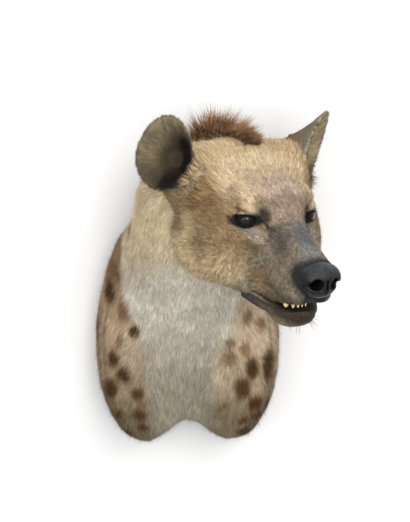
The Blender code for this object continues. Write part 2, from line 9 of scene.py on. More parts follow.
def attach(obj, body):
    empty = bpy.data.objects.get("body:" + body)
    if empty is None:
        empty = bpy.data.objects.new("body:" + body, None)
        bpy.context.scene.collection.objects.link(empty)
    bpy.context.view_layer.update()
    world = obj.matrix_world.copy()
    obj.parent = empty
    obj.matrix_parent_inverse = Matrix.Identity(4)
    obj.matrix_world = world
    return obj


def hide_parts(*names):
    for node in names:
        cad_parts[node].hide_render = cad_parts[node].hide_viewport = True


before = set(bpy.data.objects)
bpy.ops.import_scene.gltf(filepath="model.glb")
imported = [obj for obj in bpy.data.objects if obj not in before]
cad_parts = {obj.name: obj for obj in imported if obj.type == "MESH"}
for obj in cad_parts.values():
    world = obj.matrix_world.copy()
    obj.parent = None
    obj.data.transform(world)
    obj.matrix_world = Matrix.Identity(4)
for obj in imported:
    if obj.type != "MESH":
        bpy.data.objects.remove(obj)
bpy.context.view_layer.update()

mm = 0.001
headPose = {"eyesAt": (0.115, -0.317, 0.160), "yaw": 31, "pitch": 15, "roll": 2}


def headTurn():
    yaw = Matrix.Rotation(math.radians(headPose["yaw"]), 3, "Z")
    pitch = Matrix.Rotation(math.radians(headPose["pitch"]), 3, "X")
    roll = Matrix.Rotation(math.radians(-headPose["roll"]), 3, "Y")
    return np.array(yaw @ pitch @ roll) * (1, -1, 1)  # columns: left, forward, up


headAxes = headTurn()


def toHead(points):
    # World metres to the head's own millimetres: left, forward, up
    return (points - headPose["eyesAt"]) @ headAxes / mm


def fromHead(points):
    return np.asarray(points) * mm @ headAxes.T + headPose["eyesAt"]


def headWay(vector):
    return headAxes @ np.asarray(vector, float)


def mirrored(points):
    # Both sides measured on the animal's left
    return np.abs(points[:, :1]) * (1, 0, 0) + points * (0, 1, 1)


def unit(vectors):
    return vectors / np.maximum(np.linalg.norm(vectors, axis=-1, keepdims=True), 1e-9)


def share(value, low, high):
    # 0 below low, 1 above high, smooth between
    part = np.clip((value - low) / (high - low), 0, 1)
    return part * part * (3 - 2 * part)


def lump(points, centre, radii):
    local = points - centre
    scaled = np.linalg.norm(local / radii, axis=1)
    slope = np.linalg.norm(local / np.square(radii), axis=1)
    return scaled * (scaled - 1) / np.maximum(slope, 1e-9)


def bar(points, start, end, startRadius, endRadius):
    start, end = np.asarray(start, float), np.asarray(end, float)
    axis = end - start
    part = np.clip((points - start) @ axis / (axis @ axis), 0, 1)
    off = points - start - part[:, None] * axis
    return np.linalg.norm(off, axis=1) - (startRadius + part * (endRadius - startRadius))


def cord(points, path, radius):
    # The distance to a bent bar through several points, with one radius or one for each point
    steps = list(zip(path, np.broadcast_to(radius, len(path))))
    return np.min([bar(points, a, b, ra, rb) for (a, ra), (b, rb) in zip(steps, steps[1:])], axis=0)


def smoothCurve(at, places, values):
    places, values = np.asarray(places, float), np.asarray(values, float)
    slopes = np.gradient(values, places)
    at = np.clip(at, places[0], places[-1])
    i = np.clip(np.searchsorted(places, at) - 1, 0, len(places) - 2)
    width = places[i + 1] - places[i]
    t = (at - places[i]) / width
    rise = values[i] * (2 * t**3 - 3 * t**2 + 1) + values[i + 1] * (3 * t**2 - 2 * t**3)
    return rise + width * (slopes[i] * (t**3 - 2 * t**2 + t) + slopes[i + 1] * (t**3 - t**2))


def loft(points, stations, front, noseLength, squareness):
    # A body along the forward axis, its front end rounded over noseLength
    forward, halfWidth, top, bottom = np.array(stations, float).T
    f = points[:, 1]
    middle = smoothCurve(f, forward, (top + bottom) / 2)
    tall = smoothCurve(f, forward, (top - bottom) / 2)
    wide = smoothCurve(f, forward, halfWidth)
    inset = np.clip((f - (front - noseLength)) / noseLength, 0, 0.995)
    shrink = np.sqrt(1 - inset**2)
    across = np.abs(points[:, 0]) / (wide * shrink)
    along = np.abs(points[:, 2] - middle) / (tall * shrink)
    reach = (across**squareness + along**squareness) ** (1 / squareness)
    d = (reach - 1) * np.minimum(wide, tall) * np.maximum(shrink, 0.3)
    pastEnd = np.maximum(f - front, 0) + np.maximum(forward[0] - f, 0)
    return np.where(pastEnd > 0, np.hypot(np.maximum(d, 0), pastEnd), d)


def join(first, second, soft):
    mix = np.clip(0.5 + 0.5 * (second - first) / soft, 0, 1)
    return second + (first - second) * mix - soft * mix * (1 - mix)


def scoop(first, second, soft):
    return -join(-first, second, soft)


def evened(field, points, step=0.5):
    # The field as a true distance near its surface
    value = field(points)
    slope = [(field(points + step * axis) - value) / step for axis in np.eye(3)]
    return value / np.maximum(np.linalg.norm(slope, axis=0), 0.2)


def softNoise(points, size, seed):
    # Smooth lumps of about this many millimetres, from -1 to 1
    table = np.random.default_rng(seed).uniform(-1, 1, (32, 32, 32))
    place = points / (size * mm)
    corner = np.floor(place).astype(int)
    part = place - corner
    part = part**2 * (3 - 2 * part)
    total = np.zeros(len(points))
    for step in np.ndindex(2, 2, 2):
        weight = np.prod(np.where(step, part, 1 - part), axis=1)
        total += weight * table[tuple(((corner + step) % 32).T)]
    return total


# ---- the head and neck under the coat: the same forms as the solids ----
muzzle = {
    # forward, half width, top, bottom
    "bridge": (
        (-30, 46, 42, -50),
        (0, 34, 29, -56),
        (28, 24.5, 12, -60),
        (55, 24, -5, -62),
        (80, 24, -18, -62),
        (96, 24, -25, -62),
    ),
    "lips": (
        (-30, 49, 20, -84),
        (0, 40, -4, -90),
        (28, 33, -25, -86),
        (55, 31, -32, -87),
        (80, 28, -42, -81),
        (96, 22, -48, -74),
    ),
    "lowerJaw": (
        (-60, 62, -50, -96),
        (0, 50, -72, -98),
        (30, 41, -80, -103),
        (52, 32, -84, -119),
        (72, 26, -84, -117),
        (90, 18, -82, -104),
    ),
    "flews": ((38, 20, -78), (32, 34, -80), (27, 46, -83), (22, 60, -82), (14, 74, -78), (0, 80, -76)),
    "lowerLip": (
        (46, 10, -92.5),
        (44, 22, -91.5),
        (41, 32, -93.4),
        (37, 42, -95.9),
        (31, 52, -98),
        (25, 62, -97.5),
        (18, 71, -95.5),
        (10, 76, -94),
        (0, 78, -92),
    ),
    "lowerLipRadius": (2.6, 4.2, 4.2, 3.9, 3.5, 3.0, 2.6, 2.4, 2.3),
}


def muzzleField(p):
    bridge = loft(p, muzzle["bridge"], 104, 26, 2.4)
    lips = loft(p, muzzle["lips"], 93, 28, 2.4)
    lower = loft(p, muzzle["lowerJaw"], 82, 28, 2.3)
    q = mirrored(p)
    pads = lump(q, (15, 72, -69), (17, 24, 15))
    flews = cord(q, muzzle["flews"], 5.5)
    return join(join(join(join(bridge, lips, 14), pads, 6), flews, 7), lower, 5)


def skullField(p):
    q = mirrored(p)
    d = lump(p, (0, -95, 4), (64, 84, 58))
    d = join(d, lump(p, (0, -98, 34), (30, 62, 37)), 24)
    d = join(d, lump(q, (40, -92, 24), (38, 58, 42)), 18)
    d = join(d, lump(p, (0, -26, 10), (45, 44, 34)), 24)
    cheekbone = lump(q, (56, -60, -14), (30, 38, 32))
    chewing = lump(q, (58, -66, -50), (38, 62, 46))
    d = join(d, join(cheekbone, chewing, 20), 20)
    d = join(d, lump(p, (0, -40, -72), (50, 70, 32)), 20)
    return join(d, lump(q, (36, -22, 24), (17, 30, 12)), 12)


eye = {
    "middle": (39.3, -12.8, -1.6),
    "leftShift": (4.2, 2.0, 0.6),
    "facing": (0.53, 0.85, 0.03),
    "lidTilt": (0.10, -0.16, 1),  # the inner corner is lower
    "radius": 13.2,
    "lidThick": 2.3,
    "slitMiddle": (1.2, -0.6),
    "slit": (13.6, 7.2, 10),
    "iris": 8.5,
    "pupil": 3.4,
}


def eyeAxes():
    facing = np.array(eye["facing"]) / np.linalg.norm(eye["facing"])
    along = unit(np.cross(facing, eye["lidTilt"]))
    return np.stack((along, np.cross(facing, along), facing), 1)


def aroundEye(p):
    # Both sides measured from the middle of their own eyeball
    return mirrored(p) - eye["middle"] - np.where(p[:, :1] > 0, eye["leftShift"], 0)


def eyeField(p, d):
    # Brow, lids round the ball and the fold over the upper lid
    near = aroundEye(p)
    d = scoop(d, lump(near, (9.7, 25.8, 0.6), (19, 17, 11)), 9)
    d = join(d, lump(mirrored(p), (40, -6, 12.5), (14, 14, 6)), 9)
    lid = eye["radius"] + eye["lidThick"]
    d = join(d, lump(near, (0, 0, 0), (lid, lid, lid)), 3)
    local = near @ eyeAxes()
    x, y, z = local.T
    fold = y * eyeUp - (9.3 - 0.020 * (x - 2) ** 2)
    ball = np.linalg.norm(local, axis=1) - lid
    reach = np.where(p[:, 0] > 0, 8, 17)
    held = share(reach - np.abs(x - 3), 0, 9)
    ridge = np.hypot(fold, ball) - 1.9 * held + 3 * (1 - held)
    return join(d, np.where((z > 0) & (np.abs(x - 3) < reach), ridge, 50), 2.5)


eyeUp = 1 if eyeAxes()[2, 1] > 0 else -1


def slitPlace():
    # The middle of the slit in the eye's own axes: outwards, down, ahead
    return np.array((eye["slitMiddle"][0], eye["slitMiddle"][1] * eyeUp, eye["radius"]))


def nostrils(p):
    q = mirrored(p)
    opening = bar(q, (13, 119, -48), (12, 96, -44), 8.6, 5.0)
    slit = bar(q, (16, 114, -48), (28, 100, -51), 4.6, 2.8)
    return join(opening, slit, 3)


def noseField(p):
    q = mirrored(p)
    d = lump(p, (0, 96, -46), (24, 20, 22))
    d = join(d, lump(q, (16, 93, -42), (12, 18, 13)), 6)
    d = scoop(d, nostrils(p), 2.0)
    groove = np.hypot(p[:, 0], np.maximum(0, -(p[:, 1] - 112))) - 1.0
    return scoop(d, np.where(p[:, 2] < -40, groove, 20), 2.0)


ear = {
    "thick": 5.5,
    "depth": 40,
    "flare": 1.5,
    "neck": 0.28,  # width of the cup's bottom as a share of its rim
    "halfWidth": 45,
    "halfHeight": 54,
    "canalOff": (10, -14),
    "root": (62, -92, 26),
    "rootSize": (32, 36, 40),
    # side, middle of the rim, way it faces, way it rises
    "left": (1, (112, -92, 61), (0.62, 0.72, -0.10), (0.36, -0.14, 0.92)),
    "right": (-1, (114, -100, 60), (0.74, 0.67, 0.05), (-0.06, 0.05, 0.99)),
}


def earAxes(facing, rise):
    facing = unit(np.array(facing, float))
    rise = np.array(rise) - facing * (facing @ rise)
    rise /= np.linalg.norm(rise)
    return np.stack((np.cross(rise, facing), rise, facing), axis=1)


def earLocal(p, pose):
    side, middle, facing, rise = pose
    return (p * (side, 1, 1) - middle) @ earAxes(facing, rise)


def earCup(local):
    depth = np.clip(-local[:, 2] / ear["depth"], 0, 1)
    flare = ear["neck"] + (1 - ear["neck"]) * (1 - depth) ** ear["flare"]
    x = local[:, 0] - ear["canalOff"][0] * depth
    y = local[:, 1] - ear["canalOff"][1] * depth
    wide = ear["halfWidth"] * (1 - 0.2 * np.clip(local[:, 1] / ear["halfHeight"], -1, 1))
    reach = np.hypot(x / wide, y / ear["halfHeight"])
    return (reach - flare) * ear["halfWidth"]


def earShell(local, cup, inset):
    rim = local[:, 2] + 5 * (local[:, 0] / ear["halfWidth"]) ** 2
    base = -local[:, 2] - ear["depth"]
    return np.maximum(-join(-cup, -rim, 5), base) + inset


def addEar(p, d, pose, inset):
    q = p * (pose[0], 1, 1)
    local = earLocal(p, pose)
    cup = evened(earCup, local)
    stalk = bar(q, (60, -98, 6), (88, -116, 26), 34, 24)
    d = join(d, join(stalk, lump(q, ear["root"], ear["rootSize"]), 20) + 2.5 * inset, 22)
    d = join(d, earShell(local, cup, inset), 10)
    base = -local[:, 2] - ear["depth"]
    hollow = np.maximum(np.maximum(cup + ear["thick"], local[:, 2] - 30), base + 6)
    return scoop(d, hollow - inset, 5)


chest = {
    "halfWidth": 131,
    "widestAt": -30,
    "top": 173,
    "foot": -172,
    "footUncut": -210,
    "archRise": 32,
    "archHalfWidth": 63,
    "archTilt": 0.035,
}


def outlineField(x, z):
    # The hide's edge against the wall, seen from the front
    up = z - chest["widestAt"]
    above, below = chest["top"] - chest["widestAt"], chest["widestAt"] - chest["footUncut"]
    around = np.hypot(x / chest["halfWidth"], up / np.where(up > 0, above, below)) - 1
    swing = np.clip(x / chest["archHalfWidth"], -1, 1)
    arch = chest["archRise"] * (1 + np.cos(math.pi * swing)) / 2
    foot = chest["foot"] + chest["archTilt"] * x + arch
    return scoop(around * chest["halfWidth"], z - foot, 20)


def trunkField(points):
    p = points / mm
    d = lump(p, (2, -4, 5), (157, 116, 215))
    d = join(d, lump(mirrored(p), (62, -40, -82), (76, 80, 100)), 34)
    return -join(-d, -outlineField(p[:, 0], p[:, 2]), 22)


def neckField(points):
    return bar(points / mm, (0, -50, 60), (21, -172, 162), 93, 91)


mouth = {
    # the line of the lips from the side: forward, up
    "upper": ((16, -84), (22, -83), (32, -84.5), (40, -87.6), (46, -89), (58, -88.8), (68, -86), (76, -83), (84, -80.5), (125, -74)),
    "lower": ((16, -84.6), (22, -83.8), (32, -86), (40, -89), (50, -91), (58, -92), (68, -93.3), (76, -92.7), (84, -90.5), (125, -80)),
    "start": 18,
    "depth": 15,
}


def mouthGap(p):
    # Below zero between the two lips
    f, u = p[:, 1], p[:, 2]
    upper = np.interp(f, *np.array(mouth["upper"]).T)
    lower = np.interp(f, *np.array(mouth["lower"]).T)
    return np.maximum(np.maximum(u - upper, lower - u), mouth["start"] - f)


def bodyForms(points):
    # Head, neck with chest, and both with the ears, without the coat's depth
    p = toHead(points)
    head = eyeField(p, join(skullField(p), muzzleField(p), 18))
    return p, head, join(trunkField(points), neckField(points), 40)


def earDistance(p):
    shells = []
    for name in ("left", "right"):
        local = earLocal(p, ear[name])
        shells.append(earShell(local, evened(earCup, local), 0))
    return np.min(shells, axis=0)


coatDepth = {"muzzle": 0.9, "head": 2.2, "neck": 4.0, "ear": 0.7, "wallEdge": 1.5}


def depthOfCoat(points, p, head, neck):
    onHead = share(neck - head, -8, 12)
    depth = coatDepth["neck"] + (coatDepth["head"] - coatDepth["neck"]) * onHead
    depth += (coatDepth["muzzle"] - depth) * onHead * share(p[:, 1], -45, 25)
    return depth + (coatDepth["wallEdge"] - depth) * share(points[:, 1] / mm, -32, -8)


def earWrinkles(p):
    # Short curved creases between the crown and the left ear
    s, f, u = p.T
    near = np.linalg.norm((p - (58, -66, 52)) / (20, 30, 22), axis=1)
    return np.sin((s + 0.35 * u - 0.012 * (f + 60) ** 2) / 1.6) * share(1.3 - near, 0, 0.6)


def hideFolds(points, p, head, neck):
    # Small moves of the surface in millimetres, inwards above zero
    x, y, z = (points / mm).T
    crease = 2.2 * np.exp(-(((head - neck) / 5) ** 2)) * share(-p[:, 2], 0, 40)
    side = share(np.abs(x), 70, 105) * share(40 - z, 0, 40)
    pleats = 1.1 * np.sin(y / 3.6 + 0.02 * z) * share(y, -80, -62) * share(-y, 2, 14) * side
    soft = 1.1 * softNoise(points, 34, 3) + 0.5 * softNoise(points, 13, 4)
    calm = 0.25 + 0.75 * share(-p[:, 1], -20, 60)
    q = mirrored(p)
    bag = np.hypot((q[:, 0] - 34) / 15, (q[:, 2] + 19 - 0.02 * (q[:, 0] - 34) ** 2) / 2.2)
    bag = 1.0 * np.exp(-(bag**2)) * share(q[:, 1], -20, 0) * share(30 - q[:, 1], 0, 10)
    return crease + pleats + soft * calm + bag + 0.6 * earWrinkles(p)


def hideField(points):
    p, head, neck = bodyForms(points)
    d = join(head, neck, 8) + depthOfCoat(points, p, head, neck)
    d = scoop(join(d, noseField(p) + 1.6, 9), nostrils(p) - 1.5, 2)
    d = d + hideFolds(points, p, head, neck)
    d = join(d, cord(mirrored(p), muzzle["lowerLip"], muzzle["lowerLipRadius"]), 3.5)
    for name in ("left", "right"):
        d = addEar(p, d, ear[name], coatDepth["ear"])
    d = scoop(d, np.maximum(mouthGap(p), -d - mouth["depth"]), 1.6)
    near = aroundEye(p)
    d = np.maximum(d, -lump(near, (0, 0, 0), [eye["radius"] + 0.3] * 3))
    d = scoop(d, lump(near @ eyeAxes(), slitPlace(), eye["slit"]), 1.2)
    x, y, z = (points / mm).T
    board = np.maximum(outlineField(x, z) + 6.6, -y - 12.4)
    return np.maximum(np.maximum(d, -board), y + 0.6)


def gridAxis(low, fineLow, fineHigh, high, coarse, fine, block=4):
    # Places along one axis, closer together across the face
    parts = [np.arange(low, fineLow, coarse), np.arange(fineLow, fineHigh, fine)]
    axis = np.concatenate(parts + [np.arange(fineHigh, high + coarse, coarse)])
    short = -len(axis) % block
    return np.append(axis, axis[-1] + coarse * np.arange(1, short + 1))


def evenGrid(low, high, step):
    return [gridAxis(a, b, b, b, step, step) for a, b in zip(low, high)]


def sample(field, axes, block=4):
    # Far from the surface the coarse grid is enough; near it every point is measured
    roughAxes = [a[block // 2 :: block] for a in axes]
    rough = np.stack(np.meshgrid(*roughAxes, indexing="ij"), -1).reshape(-1, 3)
    values = field(rough).reshape([len(a) for a in roughAxes])
    sizes = [np.gradient(a)[:: block] ** 2 for a in axes]
    reach = np.sqrt(sizes[0][:, None, None] + sizes[1][None, :, None] + sizes[2][None, None, :])
    near = np.abs(values) < reach / mm * block * 0.85
    for i in range(3):
        values, near = np.repeat(values, block, axis=i), np.repeat(near, block, axis=i)
    index = np.argwhere(near)
    points = np.stack([axes[i][index[:, i]] for i in range(3)], 1)
    values[near] = np.concatenate([field(part) for part in np.array_split(points, 8)])
    return values


def surface(field, axes):
    # One vertex in each crossed cell, one quad round each crossed edge
    values = sample(field, axes)
    inside = values < 0
    total = np.zeros(np.array(values.shape) - 1, np.int8)
    nx, ny, nz = total.shape
    corners = list(np.ndindex(2, 2, 2))
    for a, b, c in corners:
        total += inside[a : a + nx, b : b + ny, c : c + nz]
    cells = np.argwhere((total > 0) & (total < 8))
    ids = np.full(total.shape, -1)
    ids[tuple(cells.T)] = np.arange(len(cells))
    at = {c: values[tuple((cells + c).T)] for c in corners}
    weight, middle = np.zeros(len(cells)), np.zeros((len(cells), 3))
    for c in corners:
        for axis in range(3):
            if c[axis]:
                continue
            other = tuple(1 if i == axis else c[i] for i in range(3))
            crossed = (at[c] < 0) != (at[other] < 0)
            part = np.where(crossed, at[c] / np.where(crossed, at[c] - at[other], 1), 0)
            middle += (np.array(c, float) + part[:, None] * (np.array(other) - c)) * crossed[:, None]
            weight += crossed
    place = cells + middle / weight[:, None]
    verts = np.stack([np.interp(place[:, i], np.arange(len(axes[i])), axes[i]) for i in range(3)], 1)
    faces = []
    for axis in range(3):
        u, v = [(1, 2), (2, 0), (0, 1)][axis]
        here = [slice(1, -1)] * 3
        here[axis] = slice(0, -1)
        there = list(here)
        there[axis] = slice(1, None)
        a, b = inside[tuple(here)], inside[tuple(there)]
        spots = np.argwhere(a != b)
        spots[:, [u, v]] += 1
        leaving = inside[tuple(spots.T)]
        quad = []
        for du, dv in ((-1, -1), (0, -1), (0, 0), (-1, 0)):
            cell = spots.copy()
            cell[:, u] += du
            cell[:, v] += dv
            quad.append(ids[tuple(cell.T)])
        quad = np.stack(quad, 1)
        quad[~leaving] = quad[~leaving][:, ::-1]
        faces.append(quad)
    return verts, np.concatenate(faces)


def slopeOf(field, points, step=0.4):
    value = field(points)
    slope = np.stack([(field(points + step * mm * axis) - value) / step for axis in np.eye(3)], 1)
    return value, slope


def drawnOnto(field, points, rounds=2):
    # Moves the points along the slope until they lie on the surface
    for _ in range(rounds):
        value, slope = slopeOf(field, points)
        size = np.maximum((slope**2).sum(1), 0.3)
        move = np.clip(value / size, -1.0, 1.0)[:, None] * slope * mm
        points = points - move
    return points


def meshFromArrays(name, verts, faces, tones=None, uvs=None):
    # faces: arrays of one corner count each; tones and uvs are per vertex
    mesh = bpy.data.meshes.new(name)
    loops = np.concatenate([f.ravel() for f in faces]).astype(np.int32)
    sizes = np.concatenate([np.full(len(f), f.shape[1]) for f in faces])
    mesh.vertices.add(len(verts))
    mesh.vertices.foreach_set("co", np.asarray(verts, np.float32).ravel())
    mesh.loops.add(len(loops))
    mesh.loops.foreach_set("vertex_index", loops)
    mesh.polygons.add(len(sizes))
    starts = np.concatenate([[0], np.cumsum(sizes)[:-1]]).astype(np.int32)
    mesh.polygons.foreach_set("loop_start", starts)
    mesh.update(calc_edges=True)
    mesh.validate()
    if tones is not None:
        layer = mesh.color_attributes.new("tone", "FLOAT_COLOR", "POINT")
        rgba = np.column_stack([np.clip(tones, 0, 1), np.ones(len(tones))]).astype(np.float32)
        layer.data.foreach_set("color", rgba.ravel())
    if uvs is not None:
        layer = mesh.uv_layers.new(name="OFBake")
        layer.data.foreach_set("uv", uvs[loops].astype(np.float32).ravel())
    return mesh


def addPiece(name, mesh, material, slotName, *nodes, normals=None):
    piece = bpy.data.objects.new(name, mesh)
    bpy.context.scene.collection.objects.link(piece)
    mesh.materials.clear()
    mesh.materials.append(material)
    mesh.shade_smooth()
    if normals is not None:
        mesh.normals_split_custom_set_from_vertices(normals)
    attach(piece, "root")
    if nodes:
        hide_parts(*nodes)
    return piece


# ---- markings: one rule for the hide and for every tuft ----
tones = {
    "throat": (0.60, 0.55, 0.46),
    "throatTop": (0.62, 0.49, 0.30),
    "chestLow": (0.265, 0.235, 0.175),
    "neckSide": (0.42, 0.30, 0.185),
    "neckSideLit": (0.54, 0.42, 0.29),
    "lobe": (0.125, 0.10, 0.055),
    "napeBrown": (0.30, 0.20, 0.11),
    "spot": (0.060, 0.033, 0.014),
    "rustySpot": (0.17, 0.09, 0.045),
    # pleat: painted shade for the grooves of the pleats and the creases by the hide's edge
    "pleat": (0.07, 0.042, 0.022),
    "forehead": (0.59, 0.452, 0.295),
    "foreheadLow": (0.38, 0.29, 0.225),
    "crown": (0.70, 0.52, 0.305),
    "brows": (0.20, 0.143, 0.104),
    "headTan": (0.35, 0.25, 0.14),
    "temple": (0.17, 0.103, 0.049),
    "cheek": (0.19, 0.13, 0.067),
    "jowl": (0.32, 0.245, 0.16),
    "golden": (0.53, 0.40, 0.225),
    "muzzleSide": (0.155, 0.125, 0.085),
    "bridge": (0.086, 0.086, 0.086),
    "bridgeTip": (0.205, 0.198, 0.182),
    "ridge": (0.80, 0.75, 0.65),
    "pale": (0.33, 0.275, 0.21),
    "farGrey": (0.20, 0.17, 0.135),
    "lilac": (0.19, 0.175, 0.17),
    "dark": (0.006, 0.005, 0.005),
    "sideDark": (0.055, 0.045, 0.040),
    "olive": (0.15, 0.115, 0.065),
    "brown": (0.095, 0.065, 0.035),
    "rust": (0.15, 0.088, 0.042),
    "lip": (0.030, 0.024, 0.025),
    "chin": (0.031, 0.020, 0.011),
    "upperLip": (0.052, 0.035, 0.020),
    "mouthShade": (0.004, 0.003, 0.002),
    "earInside": (0.145, 0.115, 0.066),
    "earDark": (0.042, 0.031, 0.017),
    "earRim": (0.20, 0.165, 0.105),
    "earPale": (0.62, 0.55, 0.43),
    "earBack": (0.175, 0.147, 0.10),
    "canal": (0.003, 0.0025, 0.002),
}

sideSpots = (
    # x, z, half width, half height in millimetres on the front and sides; r = rusty
    (-104, 49, 7, 16, 0),
    (-93, 72, 4, 12, 1),
    (-87, 23, 6, 12, 1),
    (-71, -5, 6, 8, 0),
    (-91, -17, 5, 8, 1),
    (-99, -43, 8, 10, 0),
    (-114, -32, 4, 11, 0),
    (-85, -64, 8, 9, 0),
    (-102, -84, 8, 12, 0),
    (-67, -90, 8, 9, 0),
    (-65, -121, 9, 7, 0),
    (-91, -117, 6, 6, 0),
    (-60, -137, 8, 5, 0),
    (-128, -2, 3, 14, 0),
    (-120, -14, 3, 11, 0),
    (-114, -59, 3, 13, 0),
    (-85, -146, 8, 4, 0),
    (-89, 108, 3, 20, 1),
    (-101, 84, 7, 13, 1),
    (-62, -105, 4, 5, 1),
    (83, 15, 5, 8, 1),
    (99, 4, 6, 8, 1),
    (118, -12, 4, 12, 0),
    (61, -19, 6, 6, 1),
    (79, -28, 5, 9, 1),
    (58, -40, 9, 8, 1),
    (87, -54, 8, 13, 0),
    (109, -54, 7, 20, 0),
    (75, -79, 8, 13, 0),
    (92, -102, 9, 11, 0),
    (52, -106, 5, 5, 1),
    (77, -127, 8, 5, 0),
    (94, -121, 8, 5, 0),
    (80, -145, 9, 5, 0),
    (123, -77, 4, 14, 0),
    (110, -110, 3, 14, 0),
    (131, -18, 4, 12, 0),
)


def layer(tone, colour, weight):
    return tone + (np.asarray(colour) - tone) * np.clip(weight, 0, 1)[:, None]


def blob(p, centre, radii, hardness=1.0):
    # 1 in the middle of a soft patch, fading to 0 at its edge
    reach = np.linalg.norm((p - centre) / radii, axis=1)
    return share(1.35 - reach * hardness, 0, 0.7)


def neckTone(points):
    x, y, z = (points / mm).T
    wobble = 5 * softNoise(points, 22, 8)
    tone = np.tile(tones["throat"], (len(points), 1)).astype(float)
    tone = layer(tone, tones["throatTop"], share(z - 0.3 * x + wobble, 60, 150) * 0.9)
    tone = layer(tone, tones["chestLow"], share(-z - 0.1 * x + 2 * wobble, -45, 75) * 0.92)
    zs = (-170, -120, -60, -32, -12, 11, 36, 83, 137, 200)
    right = np.interp(z, zs, (-58, -58, -56, -52, -62, -73, -82, -89, -92, -96))
    left = np.interp(z, (-170, -110, -66, -38, -18, 3, 39, 100, 160), (48, 45, 34, 38, 50, 56, 66, 82, 90))
    side = np.maximum(share(right - x + wobble, -9, 10), share(x - left + wobble, -9, 16))
    side = side * (1 - 0.5 * share(-z, -25, 45) * share(x, -112, -86) * share(-x, 0, 10))
    side = np.maximum(side, share(y, -70, -45))
    sideTone = np.asarray(tones["neckSide"]) + np.subtract(tones["neckSideLit"], tones["neckSide"]) * share(x, -20, 40)[:, None]
    tone = tone + (sideTone - tone) * side[:, None]
    ridge = np.exp(-(((x - left + 3) / 3.5) ** 2)) * share(z, -25, 5) * share(95 - z, 0, 30) * share(-y, 60, 90)
    tone = layer(tone, tones["ridge"], 0.45 * ridge)
    seam = np.exp(-(((right - 7 - x) / 5) ** 2)) * share(z, -15, 30) * share(150 - z, 0, 40)
    tone = layer(tone, tones["rustySpot"], 0.55 * seam)
    tone = layer(tone, tones["napeBrown"], 0.8 * share(z + 0.35 * y, 105, 165) * share(y, -170, -60))
    tone = layer(tone, tones["lobe"], 0.35 * side * share(-z + 2 * wobble, 0, 70))
    lobes = share(-z + 3 * wobble, 55, 120) * share(np.abs(x + 10), 15, 60)
    tone = layer(tone, tones["lobe"], 0.8 * lobes)
    edge = -outlineField(x, z)
    tone = layer(tone, tones["olive"], 0.45 * share(13 - edge, 0, 10) * share(-z, 60, 120))
    warp = np.stack((softNoise(points, 14, 9), softNoise(points, 14, 10)), 1) * 2.5
    front = share(-y, 25, 55)
    for sx, sz, wide, tall, rusty in sideSpots:
        reach = np.hypot((x + warp[:, 0] - sx) / wide, (z + warp[:, 1] - sz) / tall)
        close = reach < 2
        if close.any():
            seen = front if abs(sx) <= 112 else share(24 - np.abs(y + 44), 0, 12)
            ring = share(1.8 - reach, 0, 1.0) * seen * close
            core = share(1.35 - reach, 0, 0.75) * seen * close
            tone = layer(tone, tones["rustySpot"], 0.8 * ring)
            if not rusty:
                tone = layer(tone, tones["spot"], core)
    # painted shade: the grooves of the pleats by the wall are painted darker
    pleatShade = np.sin(y / 3.6 + 0.02 * z) * share(y, -80, -62) * share(-y, 2, 14)
    pleatShade = pleatShade * share(np.abs(x), 70, 105) * share(60 - z, 0, 40)
    tone = layer(tone, tones["pleat"], 0.75 * share(pleatShade, 0.45, 0.95))
    # painted shade: thin creases beside the hide's edge are painted as dark lines
    tone = layer(tone, tones["pleat"], 0.6 * creaseShadeLines(x, z) * share(-y, 8, 20))
    return scatteredSpots(points, tone)


def creaseShadeLines(x, z):
    # Thin creases that run beside the edge of the hide, painted as lines of shade
    edge = -outlineField(x, z)
    lines = [np.exp(-(((edge - at) / 1.6) ** 2)) for at in (4.5, 10.5, 18)]
    return np.max(lines, axis=0) * share(np.abs(x), 60, 90) * share(60 - z, 0, 50)


def scatteredSpots(points, tone):
    # The flanks that the photo doesn't show: spots on a jittered net round the neck
    draw = np.random.default_rng(21)
    x, y, z = (points / mm).T
    hidden = share(y, -78, -58) + share(z, 120, 140) * share(y, -150, -120)
    for k in range(64):
        way = draw.uniform(-1, 1, 3)
        middle = np.array((0, -60, 40)) + unit(way * (1, 1, 1.4)) * 170
        middle[1] = draw.uniform(-150, -8)
        size = draw.uniform(7, 12)
        line = unit(np.array((middle[0], 0, middle[2] - 40)))
        offset = np.stack((x, y - middle[1], z - 40), 1)
        along = offset[:, 0] * line[0] + offset[:, 2] * line[2]
        off = np.stack((offset[:, 0] - along * line[0], offset[:, 1], offset[:, 2] - along * line[2]), 1)
        reach = np.hypot(np.linalg.norm(off[:, [0, 2]], axis=1), off[:, 1] * 0.8) / size
        weight = share(1.45 - reach, 0, 0.9) * (along > 0) * np.clip(hidden, 0, 1)
        tone = layer(tone, tones["spot"], 0.85 * weight)
    return tone


